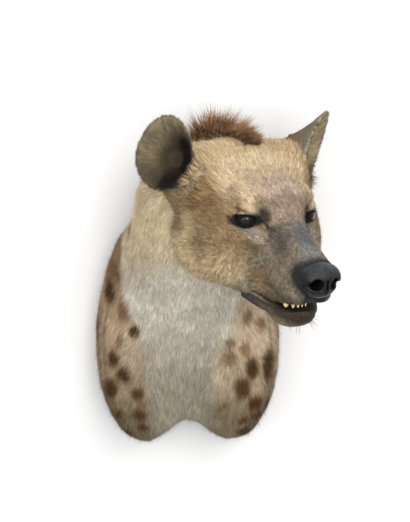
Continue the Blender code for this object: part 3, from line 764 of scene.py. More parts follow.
def headTone(points, p):
    warp = np.stack([softNoise(points, 11, seed) for seed in (61, 62, 63)], 1)
    q = mirrored(p + 3.5 * warp)
    s, f, u = q.T
    tone = np.tile(tones["headTan"], (len(points), 1)).astype(float)
    top = share(u + 0.12 * f - 0.28 * s, -12, 30)
    tone = layer(tone, tones["forehead"], top)
    tone = layer(tone, tones["crown"], share(-f, 38, 80) * share(u, 20, 40))
    # painted shade: the crown is painted darker on the animal's left, the far side of the head
    tone = layer(tone, tones["headTan"], 0.35 * share(p[:, 0], 0, 40) * share(-f, 30, 60) * share(u, 20, 40))
    tone = layer(tone, tones["cheek"], share(-u - 0.1 * f, -10, 14) * 0.9)
    tone = layer(tone, tones["temple"], 0.85 * blob(q, (76, -62, 12), (22, 34, 26)))
    tone = layer(tone, tones["temple"], 0.55 * blob(q, (64, -74, 40), (22, 24, 20)))
    tone = layer(tone, tones["temple"], 0.5 * blob(q, (66, -34, 2), (24, 30, 16)))
    tone = layer(tone, tones["golden"], 0.95 * share(-f - 0.25 * u, 36, 78) * share(-u, -4, 24))
    tone = layer(tone, tones["temple"], 0.75 * blob(q, (96, -94, -24), (26, 26, 22)))
    tone = layer(tone, tones["cheek"], 0.35 * blob(q, (64, -22, -44), (26, 30, 20)))
    tone = layer(tone, tones["jowl"], 0.8 * share(-u + 0.25 * f, 44, 70) * share(20 - f, 0, 30))
    tone = layer(tone, tones["golden"], 0.5 * blob(q, (70, -22, -76), (32, 40, 24), 0.8))
    tone = layer(tone, tones["farGrey"], 0.85 * blob(p, (54, 0, -22), (22, 28, 32)))
    tone = layer(tone, tones["muzzleSide"], share(f - 0.30 * u, 4, 34))
    tone = layer(tone, tones["foreheadLow"], 0.9 * blob(q, (4, 6, 34), (36, 28, 28)))
    tone = layer(tone, tones["brows"], 0.95 * blob(q, (8, 19, 20), (34, 18, 20)))
    # painted shade in the hollow by the far eye's inner corner; on the near side the same patch is part of the dark
    # tear mark
    tone = layer(tone, tones["sideDark"], 0.65 * blob(q, (23, 34, -14), (14, 22, 16)))
    # painted shade: the far eye's inner corner, on that side only
    tone = layer(tone, tones["sideDark"], 0.8 * blob(p, (24, 24, -4), (9, 16, 14)))
    tone = layer(tone, tones["bridge"], 0.9 * share(18 - s, 0, 12) * share(f, 26, 48))
    tone = layer(tone, tones["bridgeTip"], 0.8 * share(20 - s, 0, 12) * share(f, 60, 82) * share(u, -40, -24))
    tone = layer(tone, tones["bridgeTip"], 0.4 * blob(p, (0, 27, -2), (12, 12, 10)))
    tone = layer(tone, tones["lilac"], 0.6 * blob(q, (44, 0, -16), (16, 13, 7)))
    tone = layer(tone, tones["pale"], 0.5 * blob(q, (38, 6, -21), (15, 14, 9), 1.05))
    tone = layer(tone, tones["brown"], 0.75 * blob(q, (40, 6, -33), (15, 18, 8)))
    tone = layer(tone, tones["rust"], 0.7 * blob(q, (31, 26, -66), (12, 18, 15)))
    tone = layer(tone, tones["upperLip"], 0.85 * share(-u + 0.12 * f, 68, 90) * share(f, 26, 44))
    tone = layer(tone, tones["chin"], share(-u, 87, 95) * share(f, 20, 42))
    tone = layer(tone, tones["jowl"], 0.45 * share(-u - 0.5 * f, 66, 84) * share(f, 20, 42))
    tone = layer(tone, tones["sideDark"], 0.9 * share(13 - noseField(p), 0, 12))
    # dark skin round the nose pad, and painted shade inside the nostrils
    tone = layer(tone, tones["dark"], np.maximum(0.85 * share(6 - noseField(p), 0, 6), share(4 - nostrils(p), 0, 2)))
    tone = layer(tone, tones["dark"], 0.9 * share(f, 82, 92) * share(19 - s, 0, 9) * share(-u, 58, 66))
    nape = share(30 - s, 0, 20) * share(-f, 58, 84) * share(u, 30, 50)
    tone = layer(tone, tones["napeBrown"], nape * np.clip(0.25 + 0.6 * softNoise(points, 7, 66), 0, 1))
    # painted shade: the troughs of the wrinkles between the crown and the left ear are painted darker
    tone = layer(tone, tones["temple"], 0.5 * share(earWrinkles(p), 0.3, 0.9))
    return faceMarks(tone, p, points)


def faceMarks(tone, p, points):
    # The sharper marks: dark lids; the fold over them, with a painted highlight on the near side, painted shade on the
    # far side and a line of painted shade in the crease above it; the tear line and the lips
    q = mirrored(p)
    u, f = p[:, 2], p[:, 1]
    local = aroundEye(p) @ eyeAxes()
    x, y = local[:, 0], local[:, 1] * eyeUp
    near = share(26 - np.linalg.norm(local - (0, 0, 13), axis=1), 0, 8)
    fold = y - (9.3 - 0.020 * (x - 2) ** 2)
    # painted shade: a brown line along the crease above the fold
    tone = layer(tone, tones["brown"], 0.85 * np.exp(-(((fold - 4.0) / 1.5) ** 2)) * near * share(x, -6, 0) * share(19 - x, 0, 6))
    # painted highlight on the near side's fold; on the far side the fold is painted dark as shade
    lit = share(-p[:, 0], -10, 0)
    tone = layer(tone, tones["headTan"], lit * np.exp(-((fold / 2.0) ** 2)) * near * share(x, -5, 1) * share(19 - x, 0, 6))
    tone = layer(tone, tones["dark"], (1 - lit) * 0.8 * share(3.5 - np.abs(fold), 0, 2) * near)
    rough = q + 1.6 * np.stack([softNoise(points, 4, seed) for seed in (67, 68, 69)], 1)
    smudge = cord(rough, ((33, 9, 13), (30, 13, 9), (29, 15, 2)), (4, 7, 6))
    tone = layer(tone, tones["olive"], 0.7 * share(10 - cord(rough, ((34, 5, 22), (31, 10, 13)), (3, 5)), 0, 9))
    tone = layer(tone, tones["dark"], 0.85 * share(3 - smudge, 0, 6))
    rim = np.hypot((x - 2.5) / np.where(x > 2.5, 17.5, 23), (y + 1.5) / 8.8)
    tone = layer(tone, tones["dark"], share(1.27 - rim, 0, 0.36) * (local[:, 2] > 0))
    tear = cord(rough, ((33, 7, -2), (29, 17, -4), (24, 26, -7)), (4, 3, 1.5))
    tone = layer(tone, tones["dark"], 0.95 * share(2.5 - tear, 0, 4))
    gap = mouthGap(p)
    onUpper = share(1.6 - gap, 0, 1.2) * share(f, mouth["start"] - 2, mouth["start"] + 4)
    tone = layer(tone, tones["chin"], 0.9 * onUpper)
    band = cord(q, muzzle["lowerLip"], muzzle["lowerLipRadius"])
    return layer(tone, tones["lip"], share(2.2 - band, 0, 1.8) * share(-u, 84, 87) * (1 - 0.75 * share(f, 30, 62)))


def canalField(local):
    # The ear's canal, painted as a dark slot of shade, from the lobe up along the inner edge, in the ear's own axes
    return bar(local * (1, 1, 0), (9, -42, 0), (26, 8, 0), 11, 16)


def earTone(p, name, tone):
    local = earLocal(p, ear[name])
    cup = evened(earCup, local)
    shell = earShell(local, cup, 0)
    on = share(5 - shell, 0, 4)
    depth = np.clip(-local[:, 2] / ear["depth"], -0.2, 1)
    inner = share(-cup, ear["thick"] * 0.30, ear["thick"] * 0.65)
    back = np.tile(tones["earBack"], (len(p), 1)).astype(float)
    back = layer(back, tones["temple"], share(depth, 0.3, 0.9))
    inside = np.tile(tones["earInside"], (len(p), 1)).astype(float)
    turn = np.arctan2(local[:, 1] + 14, local[:, 0] - 10)
    reach = np.linalg.norm(local[:, :2] - (10, -14), axis=1)
    rays = softNoise(np.stack((16 * turn, 0.12 * reach, 0 * turn), 1) * mm, 1, 73)
    inside = inside * (1 + 0.38 * rays)[:, None] * (1.7 if name == "left" else 1)
    inside = inside * (1 + 0.45 * share(local[:, 1], 12, 46))[:, None]
    inside = layer(inside, tones["earDark"], 0.8 * share(-local[:, 1], 6, 36))
    # painted shade: darker round the canal, the canal itself black, and darker deep in the cup
    inside = layer(inside, tones["earDark"], 0.85 * share(24 - canalField(local), 0, 24))
    inside = layer(inside, tones["canal"], share(4 - canalField(local), 0, 10))
    inside = layer(inside, tones["earDark"], 0.9 * share(depth, 0.3, 0.95))
    if name == "left":
        inside = layer(inside, tones["earPale"], 0.7 * share(rays, 0.1, 0.7) * share(local[:, 0], -5, 15))
    both = back + (inside - back) * inner[:, None]
    both = layer(both, tones["earRim"], 0.6 * np.exp(-((depth / 0.06) ** 2)) * share(canalField(local), 2, 8))
    if name == "left":
        # painted highlight: a pale line along the near rim of the left ear
        rim = np.exp(-(((depth - 0.10) / 0.10) ** 2)) * share(local[:, 0], 12, 26)
        both = layer(both, tones["earPale"], 0.8 * rim * share(rays, -0.5, 0.3))
    return tone + (both - tone) * on[:, None]


def coatTone(points):
    p, head, neck = bodyForms(points)
    onHead = share(neck - head, -3, 5)[:, None]
    tone = neckTone(points) * (1 - onHead) + headTone(points, p) * onHead
    for name in ("left", "right"):
        tone = earTone(p, name, tone)
    face = onHead[:, 0] * share(p[:, 1], -60, 0)
    fine = 0.14 + 0.40 * face
    cloud = 1 + 0.12 * softNoise(points, 19, 5) + 0.13 * softNoise(points, 6.5, 64)
    cloud += fine * softNoise(points, 2.0, 6)
    return tone * np.clip(cloud, 0.4, 1.6)[:, None]


# ---- materials ----
def newMaterial(name):
    material = bpy.data.materials.new(name)
    material.use_nodes = True
    nodes, links = material.node_tree.nodes, material.node_tree.links
    return material, nodes, links, nodes["Principled BSDF"]


def hairMaterial(name, roughness, sheen):
    # Colour from the tufts' own tone, slightly varied
    material, nodes, links, shader = newMaterial(name)
    tone = nodes.new("ShaderNodeAttribute")
    tone.attribute_name = "tone"
    links.new(tone.outputs["Color"], shader.inputs["Base Color"])
    shader.inputs["Roughness"].default_value = roughness
    shader.inputs["Specular IOR Level"].default_value = 0.08
    shader.inputs["Sheen Weight"].default_value = sheen
    shader.inputs["Sheen Roughness"].default_value = 0.5
    return material


def hideMaterial():
    # Skin under the coat: the same tone broken by fine hair streaks and pores
    material, nodes, links, shader = newMaterial("hyenaHide")
    tone = nodes.new("ShaderNodeAttribute")
    tone.attribute_name = "tone"
    place = nodes.new("ShaderNodeTexCoord")
    streaks = nodes.new("ShaderNodeTexNoise")
    streaks.inputs["Scale"].default_value = 420
    streaks.inputs["Detail"].default_value = 6
    streaks.inputs["Roughness"].default_value = 0.7
    links.new(place.outputs["Object"], streaks.inputs["Vector"])
    shades = nodes.new("ShaderNodeMapRange")
    shades.inputs["To Min"].default_value = 0.55
    shades.inputs["To Max"].default_value = 1.15
    links.new(streaks.outputs["Fac"], shades.inputs["Value"])
    mix = nodes.new("ShaderNodeVectorMath")
    mix.operation = "SCALE"
    links.new(tone.outputs["Color"], mix.inputs[0])
    links.new(shades.outputs["Result"], mix.inputs["Scale"])
    links.new(mix.outputs["Vector"], shader.inputs["Base Color"])
    bump = nodes.new("ShaderNodeBump")
    bump.inputs["Strength"].default_value = 0.6
    bump.inputs["Distance"].default_value = 0.0012
    links.new(streaks.outputs["Fac"], bump.inputs["Height"])
    links.new(bump.outputs["Normal"], shader.inputs["Normal"])
    shader.inputs["Roughness"].default_value = 0.8
    shader.inputs["Specular IOR Level"].default_value = 0.25
    return material


hideSkin = hideMaterial()
coatHair = hairMaterial("coatHair", 0.75, 0.0)
maneHair = hairMaterial("maneHair", 0.55, 0.03)

# ---- the hide: one skin over chest, neck, head, jaw and ears ----
hide = {
    "low": (-0.152, -0.46, -0.20),
    "fineLow": (0.045, -0.42, 0.03),
    "fineHigh": (0.20, -0.26, 0.21),
    "high": (0.22, 0.006, 0.34),
    "coarse": 3.0,
    "fine": 1.5,
}


def unwrapped(mesh):
    # The skin's own unwrap, which every tuft takes its patch from
    piece = bpy.data.objects.new("unwrap", mesh)
    bpy.context.scene.collection.objects.link(piece)
    bpy.context.view_layer.objects.active = piece
    piece.select_set(True)
    mesh.uv_layers.new(name="OFBake")
    bpy.ops.object.mode_set(mode="EDIT")
    bpy.ops.mesh.select_all(action="SELECT")
    bpy.ops.uv.smart_project(angle_limit=math.radians(70), island_margin=0.001)
    bpy.ops.object.mode_set(mode="OBJECT")
    bpy.data.objects.remove(piece)


def makeHide():
    sides = zip(hide["low"], hide["fineLow"], hide["fineHigh"], hide["high"])
    axes = [gridAxis(*side, hide["coarse"] * mm, hide["fine"] * mm) for side in sides]
    verts, quads = surface(hideField, axes)
    verts = drawnOnto(hideField, verts)
    verts[:, 1] = np.minimum(verts[:, 1], -0.0005)
    tone = coatTone(verts)
    p = toHead(verts)
    # painted shade: the inside of the mouth between the lips is painted near black
    inMouth = share(-mouthGap(p), -0.6, 0.8) * share(p[:, 1], 22, 30)
    tone = layer(tone, tones["mouthShade"], inMouth)
    mesh = meshFromArrays("hide", verts, [quads], tones=tone)
    unwrapped(mesh)
    return verts, quads, mesh


hideVerts, hideQuads, hideMesh = makeHide()
addPiece("hide", hideMesh, hideSkin, "hide", "chest", "neck", "head", "lower_jaw", "ear_left", "ear_right")
print("hide:", len(hideVerts), "points")


# ---- the coat: short tufts that follow the lie of the hair ----
def hideCorners():
    uv = np.empty(len(hideMesh.loops) * 2, np.float32)
    hideMesh.uv_layers["OFBake"].data.foreach_get("uv", uv)
    return uv.reshape(-1, 4, 2)


def hideNormals():
    normals = np.empty(len(hideVerts) * 3, np.float32)
    hideMesh.vertices.foreach_get("normal", normals)
    return normals.reshape(-1, 3)


def scatterRoots(count, weights, seed):
    # Random places on the hide, thicker where the weights are higher
    draw = np.random.default_rng(seed)
    corners = hideVerts[hideQuads]
    crossing = np.cross(corners[:, 2] - corners[:, 0], corners[:, 3] - corners[:, 1])
    chance = np.linalg.norm(crossing, axis=1) * weights
    picked = draw.choice(len(hideQuads), count, p=chance / chance.sum())
    a, b = draw.uniform(0, 1, (2, count, 1))
    blend = ((1 - a) * (1 - b), a * (1 - b), a * b, (1 - a) * b)

    def mixed(values):
        return sum(part * values[:, i] for i, part in enumerate(blend))

    quads = hideQuads[picked]
    return mixed(corners[picked]), unit(mixed(hideNormals()[quads])), mixed(hideCorners()[picked])


def lieOfCoat(points, normals):
    # The way the hair lies, along the skin
    p, head, neck = bodyForms(points)
    onHead = share(neck - head, -6, 8)[:, None]
    s, f, u = p.T
    side = np.sign(s) * share(np.abs(s), 4, 40)
    local = np.stack((side * (0.35 - 0.5 * share(-u, -10, 60)), -np.ones(len(p)), 0.35 * share(u, -10, 40) - 0.75 * share(-u, 10, 80)), 1)
    browUp = share(20 - np.abs(f), 0, 20) * share(u, 5, 25)
    local[:, 2] += 0.6 * browUp
    headLie = local @ headAxes.T
    top = share(normals[:, 2], 0.2, 0.75)
    sideways = np.abs(normals[:, 0])
    back = 0.10 + 0.75 * sideways * share(-points[:, 1] / mm, 10, 70) + 2.0 * top
    neckLie = np.stack((0.25 * normals[:, 0], back, -1.0 + 0.7 * top), 1)
    neckLie += 0.5 * np.stack((softNoise(points, 40, 31), softNoise(points, 40, 32), 0.6 * softNoise(points, 40, 33)), 1)
    lie = neckLie * (1 - onHead) + headLie * onHead
    for name in ("left", "right"):
        axes = headAxes @ (earAxes(*ear[name][2:]) * np.array((ear[name][0], 1, 1))[:, None])
        place = earLocal(p, ear[name])
        on = share(6 - earShell(place, evened(earCup, place), 0), 0, 5)[:, None]
        outward = place[:, :1] * axes[:, 0] / 30 + (place[:, 1:2] / 30 + 0.5) * axes[:, 1] + 0.6 * axes[:, 2]
        lie = lie * (1 - on) + outward * on
    lie = lie - normals * (lie * normals).sum(1, keepdims=True)
    return unit(lie)


def bareness(points):
    # 1 where no hair grows: eyes, inside the mouth, under the nose, at the wall
    p = toHead(points)
    q = mirrored(p)
    local = aroundEye(p) @ eyeAxes()
    rim = local - slitPlace()
    slit = np.hypot(rim[:, 0] / 16.5, rim[:, 1] / 9.5)
    bare = (slit < 1) & (local[:, 2] > 0) & (np.linalg.norm(local, axis=1) < 26)
    bare |= np.linalg.norm(local, axis=1) < 14.8
    bare |= (mouthGap(p) < 0.8) & (p[:, 1] > mouth["start"])
    bare |= (cord(q, muzzle["lowerLip"], muzzle["lowerLipRadius"]) < 1.5) & (p[:, 2] < -85) & (p[:, 1] < 62)
    bare |= (noseField(p) < 0.5) | (nostrils(p) < 3)
    bare |= points[:, 1] > -0.0030
    bare |= (points[:, 1] > -0.016) & (outlineField(*(points[:, [0, 2]] / mm).T) < -5.5)
    return bare


def tuftMesh(name, roots, normals, lie, size, tone, uvs, rings, sink=0.0006):
    # Each tuft: three-sided rings that lean from the root and bend down to a point.
    # size: length, width, lean in radians; rings: share of length, share of width
    length, width, lean = (size[:, i : i + 1] for i in range(3))
    side = unit(np.cross(normals, lie))
    patch = 0.003
    verts, local, shade, soft = [], [], [], []
    place = roots - normals * sink
    last = 0.0
    for part, wide in rings:
        bend = lean * (1.25 - 0.9 * part)
        way = lie * np.cos(bend) + normals * np.sin(bend)
        place = place + way * length * (part - last)
        last = part
        half = width * wide / 2
        for across, out in ((1, 0), (-1, 0), (0, 0.7)):
            verts.append(place + side * half * across + normals * half * out)
            soft.append(normals + side * 0.45 * across)
            local.append((0.5 + 0.5 * across * wide, part))
            shade.append(0.78 + 0.26 * part)
    bend = lean * (1.25 - 0.45 * (1 + last))
    way = lie * np.cos(bend) + normals * np.sin(bend)
    verts.append(place + way * length * (1 - last))
    soft.append(normals + lie * 0.25)
    local.append((0.5, 1.0))
    shade.append(1.08)
    count, each = len(roots), len(verts)
    verts = np.stack(verts, 1)
    verts[..., 1] = np.minimum(verts[..., 1], -0.0006)
    tone = tone[:, None] * np.array(shade)[None, :, None]
    uv = uvs[:, None] + (np.array(local)[None] - 0.5) * patch
    base = (np.arange(count) * each)[:, None]
    quads, tris = [], [(2, 1, 0)]
    for ring in range(len(rings) - 1):
        for i in range(3):
            j = (i + 1) % 3
            quads.append((3 * ring + i, 3 * ring + j, 3 * ring + 3 + j, 3 * ring + 3 + i))
    tip = each - 1
    for i in range(3):
        tris.append((tip - 3 + i, tip - 3 + (i + 1) % 3, tip))
    faces = [np.concatenate([base + f[::-1] for f in tris])]
    if quads:
        faces.append(np.concatenate([base + f[::-1] for f in quads]))
    soft = unit(np.stack(soft, 1)).reshape(-1, 3)
    return meshFromArrays(name, verts.reshape(-1, 3), faces, tone.reshape(-1, 3), uv.reshape(-1, 2)), soft


def coatSize(points, draw):
    # Length, width and lean of the hair, by region
    p, head, neck = bodyForms(points)
    onHead = share(neck - head, -6, 8)
    s, f, u = mirrored(p).T
    length = 10.5 + 2.5 * softNoise(points, 30, 41)
    headLength = 8.0 - 4.6 * share(f, -50, 30) - 0.8 * share(f, 40, 80)
    headLength += 3.0 * share(-f, 70, 110)
    length += (headLength - length) * onHead
    length *= 0.65 + 0.35 * share(-points[:, 1] / mm, 25, 75)
    onEar = share(4 - earDistance(p), 0, 4)
    length += (4.5 - length) * onEar
    sweep = blob(mirrored(p), (84, -84, 34), (15, 22, 26)) * share(earDistance(p), -2, 3)
    length += 8 * sweep
    lean = 0.30 + 0.08 * softNoise(points, 26, 42)
    lean += (0.34 + 0.15 * sweep - lean) * onHead
    width = 0.042 * length + 0.36
    length = length * draw.uniform(0.7, 1.25, len(points))
    lean = lean * draw.uniform(0.5, 1.5, len(points))
    stray = draw.uniform(0, 1, len(points)) < coat["strays"]
    lean, width, length = lean + 0.5 * stray, width * (1 - 0.5 * stray), length * (1 + 0.25 * stray)
    return np.column_stack([length * mm, width * mm, lean])


coat = {
    "jitter": 0.20,
    "streakSize": 1.4,
    "strays": 0.05,
    # region: tufts, slot, contrast of the streaks, spread of the single tufts
    "regions": {
        "muzzleCoat": (49000, "face", 0.20, 0.55),
        "headCoatRight": (42000, "face", 0.30, 0.36),
        "headCoatLeft": (42000, "face", 0.30, 0.36),
        "earCoat": (34000, "ears", 0.32, 0.24),
        "neckCoatRight": (44000, "hide", 0.26, 0.22),
        "neckCoatLeft": (44000, "hide", 0.26, 0.22),
        "chestCoatRight": (44000, "hide", 0.26, 0.22),
        "chestCoatLeft": (44000, "hide", 0.26, 0.22),
    },
}


def coatRegions(points):
    # The region of each place, by number in the order of the table
    p, head, neck = bodyForms(points)
    s, f, u = p.T
    region = np.where(points[:, 2] > 0.045, 4, 6) + (points[:, 0] > 0.0)
    region = np.where(head < neck, 1 + (s > 0), region)
    region = np.where((head < neck) & (f > -18), 0, region)
    return np.where(earDistance(p) < 3, 3, region)


def streaks(roots, lie, size, seed):
    # Noise drawn out along the hair, about -1 to 1
    places = [roots + lie * (step * size * mm) for step in range(-2, 3)]
    return sum(softNoise(place, size, seed) for place in places) / 1.8


def growCoat():
    middles = hideVerts[hideQuads].mean(1)
    region = coatRegions(middles)
    growing = ~bareness(middles)
    for number, (name, (count, slotName, contrast, speckle)) in enumerate(coat["regions"].items()):
        draw = np.random.default_rng(100 + number)
        roots, normals, uvs = scatterRoots(count, (region == number) * growing, 200 + number)
        kept = ~bareness(roots)
        roots, normals, uvs = roots[kept], normals[kept], uvs[kept]
        lie = lieOfCoat(roots, normals)
        side = np.cross(normals, lie)
        lie = unit(lie + side * draw.normal(0, coat["jitter"], (len(roots), 1)))
        size = coatSize(roots, draw)
        streak = streaks(roots, lie, coat["streakSize"], 71)
        rough = 1 + 1.2 * blob(mirrored(toHead(roots)), (76, -70, 22), (26, 34, 34))
        spread = draw.normal(0, speckle, len(roots)) + contrast * rough * streak
        tone = coatTone(roots) * np.clip(1 + spread, 0.3, 1.8)[:, None]
        tone = np.clip(tone * (1 + draw.normal(0, 0.035, (len(roots), 3))), 0.003, 1)
        size[:, 2] *= 1 + 0.5 * streak
        mesh, soft = tuftMesh(name, roots, normals, lie, size, tone, uvs, ((0, 1.0),))
        addPiece(name, mesh, coatHair, slotName, normals=soft)
        print(name, len(roots), "tufts")


growCoat()

# ---- the mane: long coarse hair along the nape ----
mane = {
    "front": (0, -80, 71),
    "back": (0.0, -0.018, 0.172),
    "halfWidth": 26,
    "strands": 7500,
    "length": (11, 22, 45, 62, 66, 56),
    "lean": (3.2, 2.6, 1.5, 0.5, -0.2, -0.6),
    "width": 0.95,
    "rootTone": (0.040, 0.017, 0.006),
    "midTone": (0.105, 0.044, 0.014),
    "tipTone": (0.42, 0.26, 0.135),
}


def topOfHide(places):
    levels = np.linspace(0.30, 0.14, 81)
    grid = np.column_stack([np.repeat(places, len(levels), 0), np.tile(levels, len(places))])
    inside = hideField(grid).reshape(len(places), -1) < 0
    high = levels[np.maximum(np.argmax(inside, 1) - 1, 0)]
    low = high - (levels[0] - levels[1])
    for _ in range(8):
        middle = (high + low) / 2
        outside = hideField(np.column_stack([places, middle])) > 0
        high, low = np.where(outside, middle, high), np.where(outside, low, middle)
    return np.column_stack([places, low])


def growMane():
    draw = np.random.default_rng(7)
    count = mane["strands"]
    start = fromHead(mane["front"])[:2]
    run = np.array(mane["back"])[:2] - start
    across = np.array((run[1], -run[0])) / np.linalg.norm(run)
    part = draw.uniform(0.0, 0.985, count)
    row = np.clip(draw.normal(0, 0.45, count), -1, 1) * mane["halfWidth"]
    row = row * (0.35 + 0.65 * share(part, 0, 0.3))
    roots = topOfHide(start + part[:, None] * run + row[:, None] * mm * across)
    normals = unit(slopeOf(hideField, roots)[1])
    forward = -np.append(run, 0) / np.linalg.norm(run)
    sideways = np.append(across, 0)
    places = np.linspace(0, 1, len(mane["length"]))
    length = smoothCurve(part, places, mane["length"]) * draw.uniform(0.55, 1.2, count)
    length = length * (1 - 0.6 * (row / mane["halfWidth"]) ** 2) * mm
    lean = smoothCurve(part, places, mane["lean"])[:, None]
    tuft = 0.6 * softNoise(roots, 8, 51)[:, None]
    splay = (0.024 * row + draw.normal(0, 0.08, count))[:, None] + tuft
    lean = lean + 0.8 * softNoise(roots, 7, 52)[:, None]
    up = np.array((0, 0.25, 1.0)) + forward * 0.5 * lean + sideways * splay
    up = unit(up + forward * draw.normal(0, 0.10, (count, 1)))
    curl = forward * (0.35 * lean) + sideways * (0.4 * splay) + draw.normal(0, 0.05, (count, 3))
    side = unit(np.cross(up, draw.normal(0, 1, (count, 3))))
    out = np.cross(side, up)
    rings = ((0.0, 1.0), (0.35, 0.9), (0.7, 0.6))
    shades = np.array([mane["rootTone"], mane["midTone"], mane["midTone"], mane["tipTone"]])
    lightness = (1 + draw.normal(0, 0.22, count) + 0.45 * softNoise(roots, 7, 53))[:, None]
    verts, tone, local = [], [], []
    length = length[:, None]
    tip = roots - up * 0.002 + (up + curl) * length
    inWall = np.maximum(tip[:, 1:2] + 0.004, 0) * (0, 1, 0)
    for number, (share0, wide) in enumerate(rings):
        place = roots - up * 0.002 + (up * share0 + curl * share0**2) * length - inWall * share0
        for a in (0, 2.094, 4.189):
            ring = (side * math.cos(a) + out * math.sin(a)) * mane["width"] * mm * wide / 2
            verts.append(place + ring)
            tone.append(shades[number] * lightness)
            local.append((0.5 + 0.4 * math.cos(a), share0))
    verts.append(tip - inWall)
    tone.append(shades[3] * lightness * (0.6 + 0.8 * part[:, None]))
    local.append((0.5, 1))
    each = len(verts)
    base = (np.arange(count) * each)[:, None]
    tris = [(2, 1, 0)] + [(6 + i, 6 + (i + 1) % 3, 9) for i in range(3)]
    quads = [(3 * r + i, 3 * r + (i + 1) % 3, 3 * r + 3 + (i + 1) % 3, 3 * r + 3 + i) for r in (0, 1) for i in range(3)]
    faces = [np.concatenate([base + f[::-1] for f in group]) for group in (tris, quads)]
    rootUv = np.column_stack([part, 0.5 + row / mane["halfWidth"] * 0.45])
    uv = rootUv[:, None] + (np.array(local)[None] - 0.5) * 0.003
    verts = np.stack(verts, 1).reshape(-1, 3)
    verts[:, 1] = np.minimum(verts[:, 1], -0.0006)
    mesh = meshFromArrays("mane", verts, faces, np.stack(tone, 1).reshape(-1, 3), uv.reshape(-1, 2))
    addPiece("maneHair", mesh, maneHair, "mane_hair", "mane")
    print("mane:", count, "hairs")


growMane()


# ---- nose ----
def noseMaterial():
    material, nodes, links, shader = newMaterial("noseLeather")
    place = nodes.new("ShaderNodeTexCoord")
    pebbles = nodes.new("ShaderNodeTexVoronoi")
    pebbles.feature = "SMOOTH_F1"
    pebbles.inputs["Scale"].default_value = 620
    links.new(place.outputs["Object"], pebbles.inputs["Vector"])
    tone = nodes.new("ShaderNodeAttribute")
    tone.attribute_name = "tone"
    cloud = nodes.new("ShaderNodeTexNoise")
    cloud.inputs["Scale"].default_value = 160
    links.new(place.outputs["Object"], cloud.inputs["Vector"])
    worn = nodes.new("ShaderNodeVectorMath")
    worn.operation = "SCALE"
    links.new(tone.outputs["Color"], worn.inputs[0])
    links.new(cloud.outputs["Fac"], worn.inputs["Scale"])
    links.new(worn.outputs["Vector"], shader.inputs["Base Color"])
    bump = nodes.new("ShaderNodeBump")
    bump.inputs["Strength"].default_value = 0.8
    bump.inputs["Distance"].default_value = 0.0008
    links.new(pebbles.outputs["Distance"], bump.inputs["Height"])
    links.new(bump.outputs["Normal"], shader.inputs["Normal"])
    shader.inputs["Roughness"].default_value = 0.42
    shader.inputs["Specular IOR Level"].default_value = 0.22
    return material


# leather: the pad's own near black; top: a painted blue-grey sheen; inside: painted shade in the nostrils
nose = {"leather": (0.005, 0.0055, 0.0065), "top": (0.045, 0.052, 0.062), "inside": (0.001, 0.001, 0.001)}


def makeNose():
    def field(points):
        return noseField(toHead(points)) + 0.15

    verts, quads = surface(field, evenGrid((0.10, -0.46, 0.02), (0.24, -0.33, 0.20), 1.2 * mm))
    verts = drawnOnto(field, verts)
    p = toHead(verts)
    tone = np.tile(nose["leather"], (len(p), 1)).astype(float)
    # painted sheen over the top of the pad and painted shade inside the nostrils
    tone = layer(tone, nose["top"], share(p[:, 2], -42, -26))
    tone = layer(tone, nose["inside"], share(3.0 - nostrils(p), 0, 3) * share(112 - p[:, 1], -4, 4))
    mesh = meshFromArrays("nosePad", verts, [quads], tones=tone)
    addPiece("nosePad", mesh, noseMaterial(), "nose_pad", "nose")
    print("nose:", len(verts), "points")


makeNose()


# ---- eyes, with their black rims ----
def eyeMaterial():
    # The tone attribute holds iris, pupil and white; the clear coat is the glass
    material, nodes, links, shader = newMaterial("eyeGlass")
    tone = nodes.new("ShaderNodeAttribute")
    tone.attribute_name = "tone"
    links.new(tone.outputs["Color"], shader.inputs["Base Color"])
    shader.inputs["Roughness"].default_value = 0.15
    shader.inputs["Specular IOR Level"].default_value = 0.05
    shader.inputs["Coat Weight"].default_value = 0.5
    shader.inputs["Coat Roughness"].default_value = 0.06
    return material


def rimMaterial():
    material, nodes, links, shader = newMaterial("lidRim")
    shader.inputs["Base Color"].default_value = (0.005, 0.004, 0.004, 1)
    shader.inputs["Roughness"].default_value = 0.6
    shader.inputs["Specular IOR Level"].default_value = 0.08
    grain = nodes.new("ShaderNodeTexNoise")
    grain.inputs["Scale"].default_value = 900
    bump = nodes.new("ShaderNodeBump")
    bump.inputs["Distance"].default_value = 0.0003
    place = nodes.new("ShaderNodeTexCoord")
    links.new(place.outputs["Object"], grain.inputs["Vector"])
    links.new(grain.outputs["Fac"], bump.inputs["Height"])
    links.new(bump.outputs["Normal"], shader.inputs["Normal"])
    return material


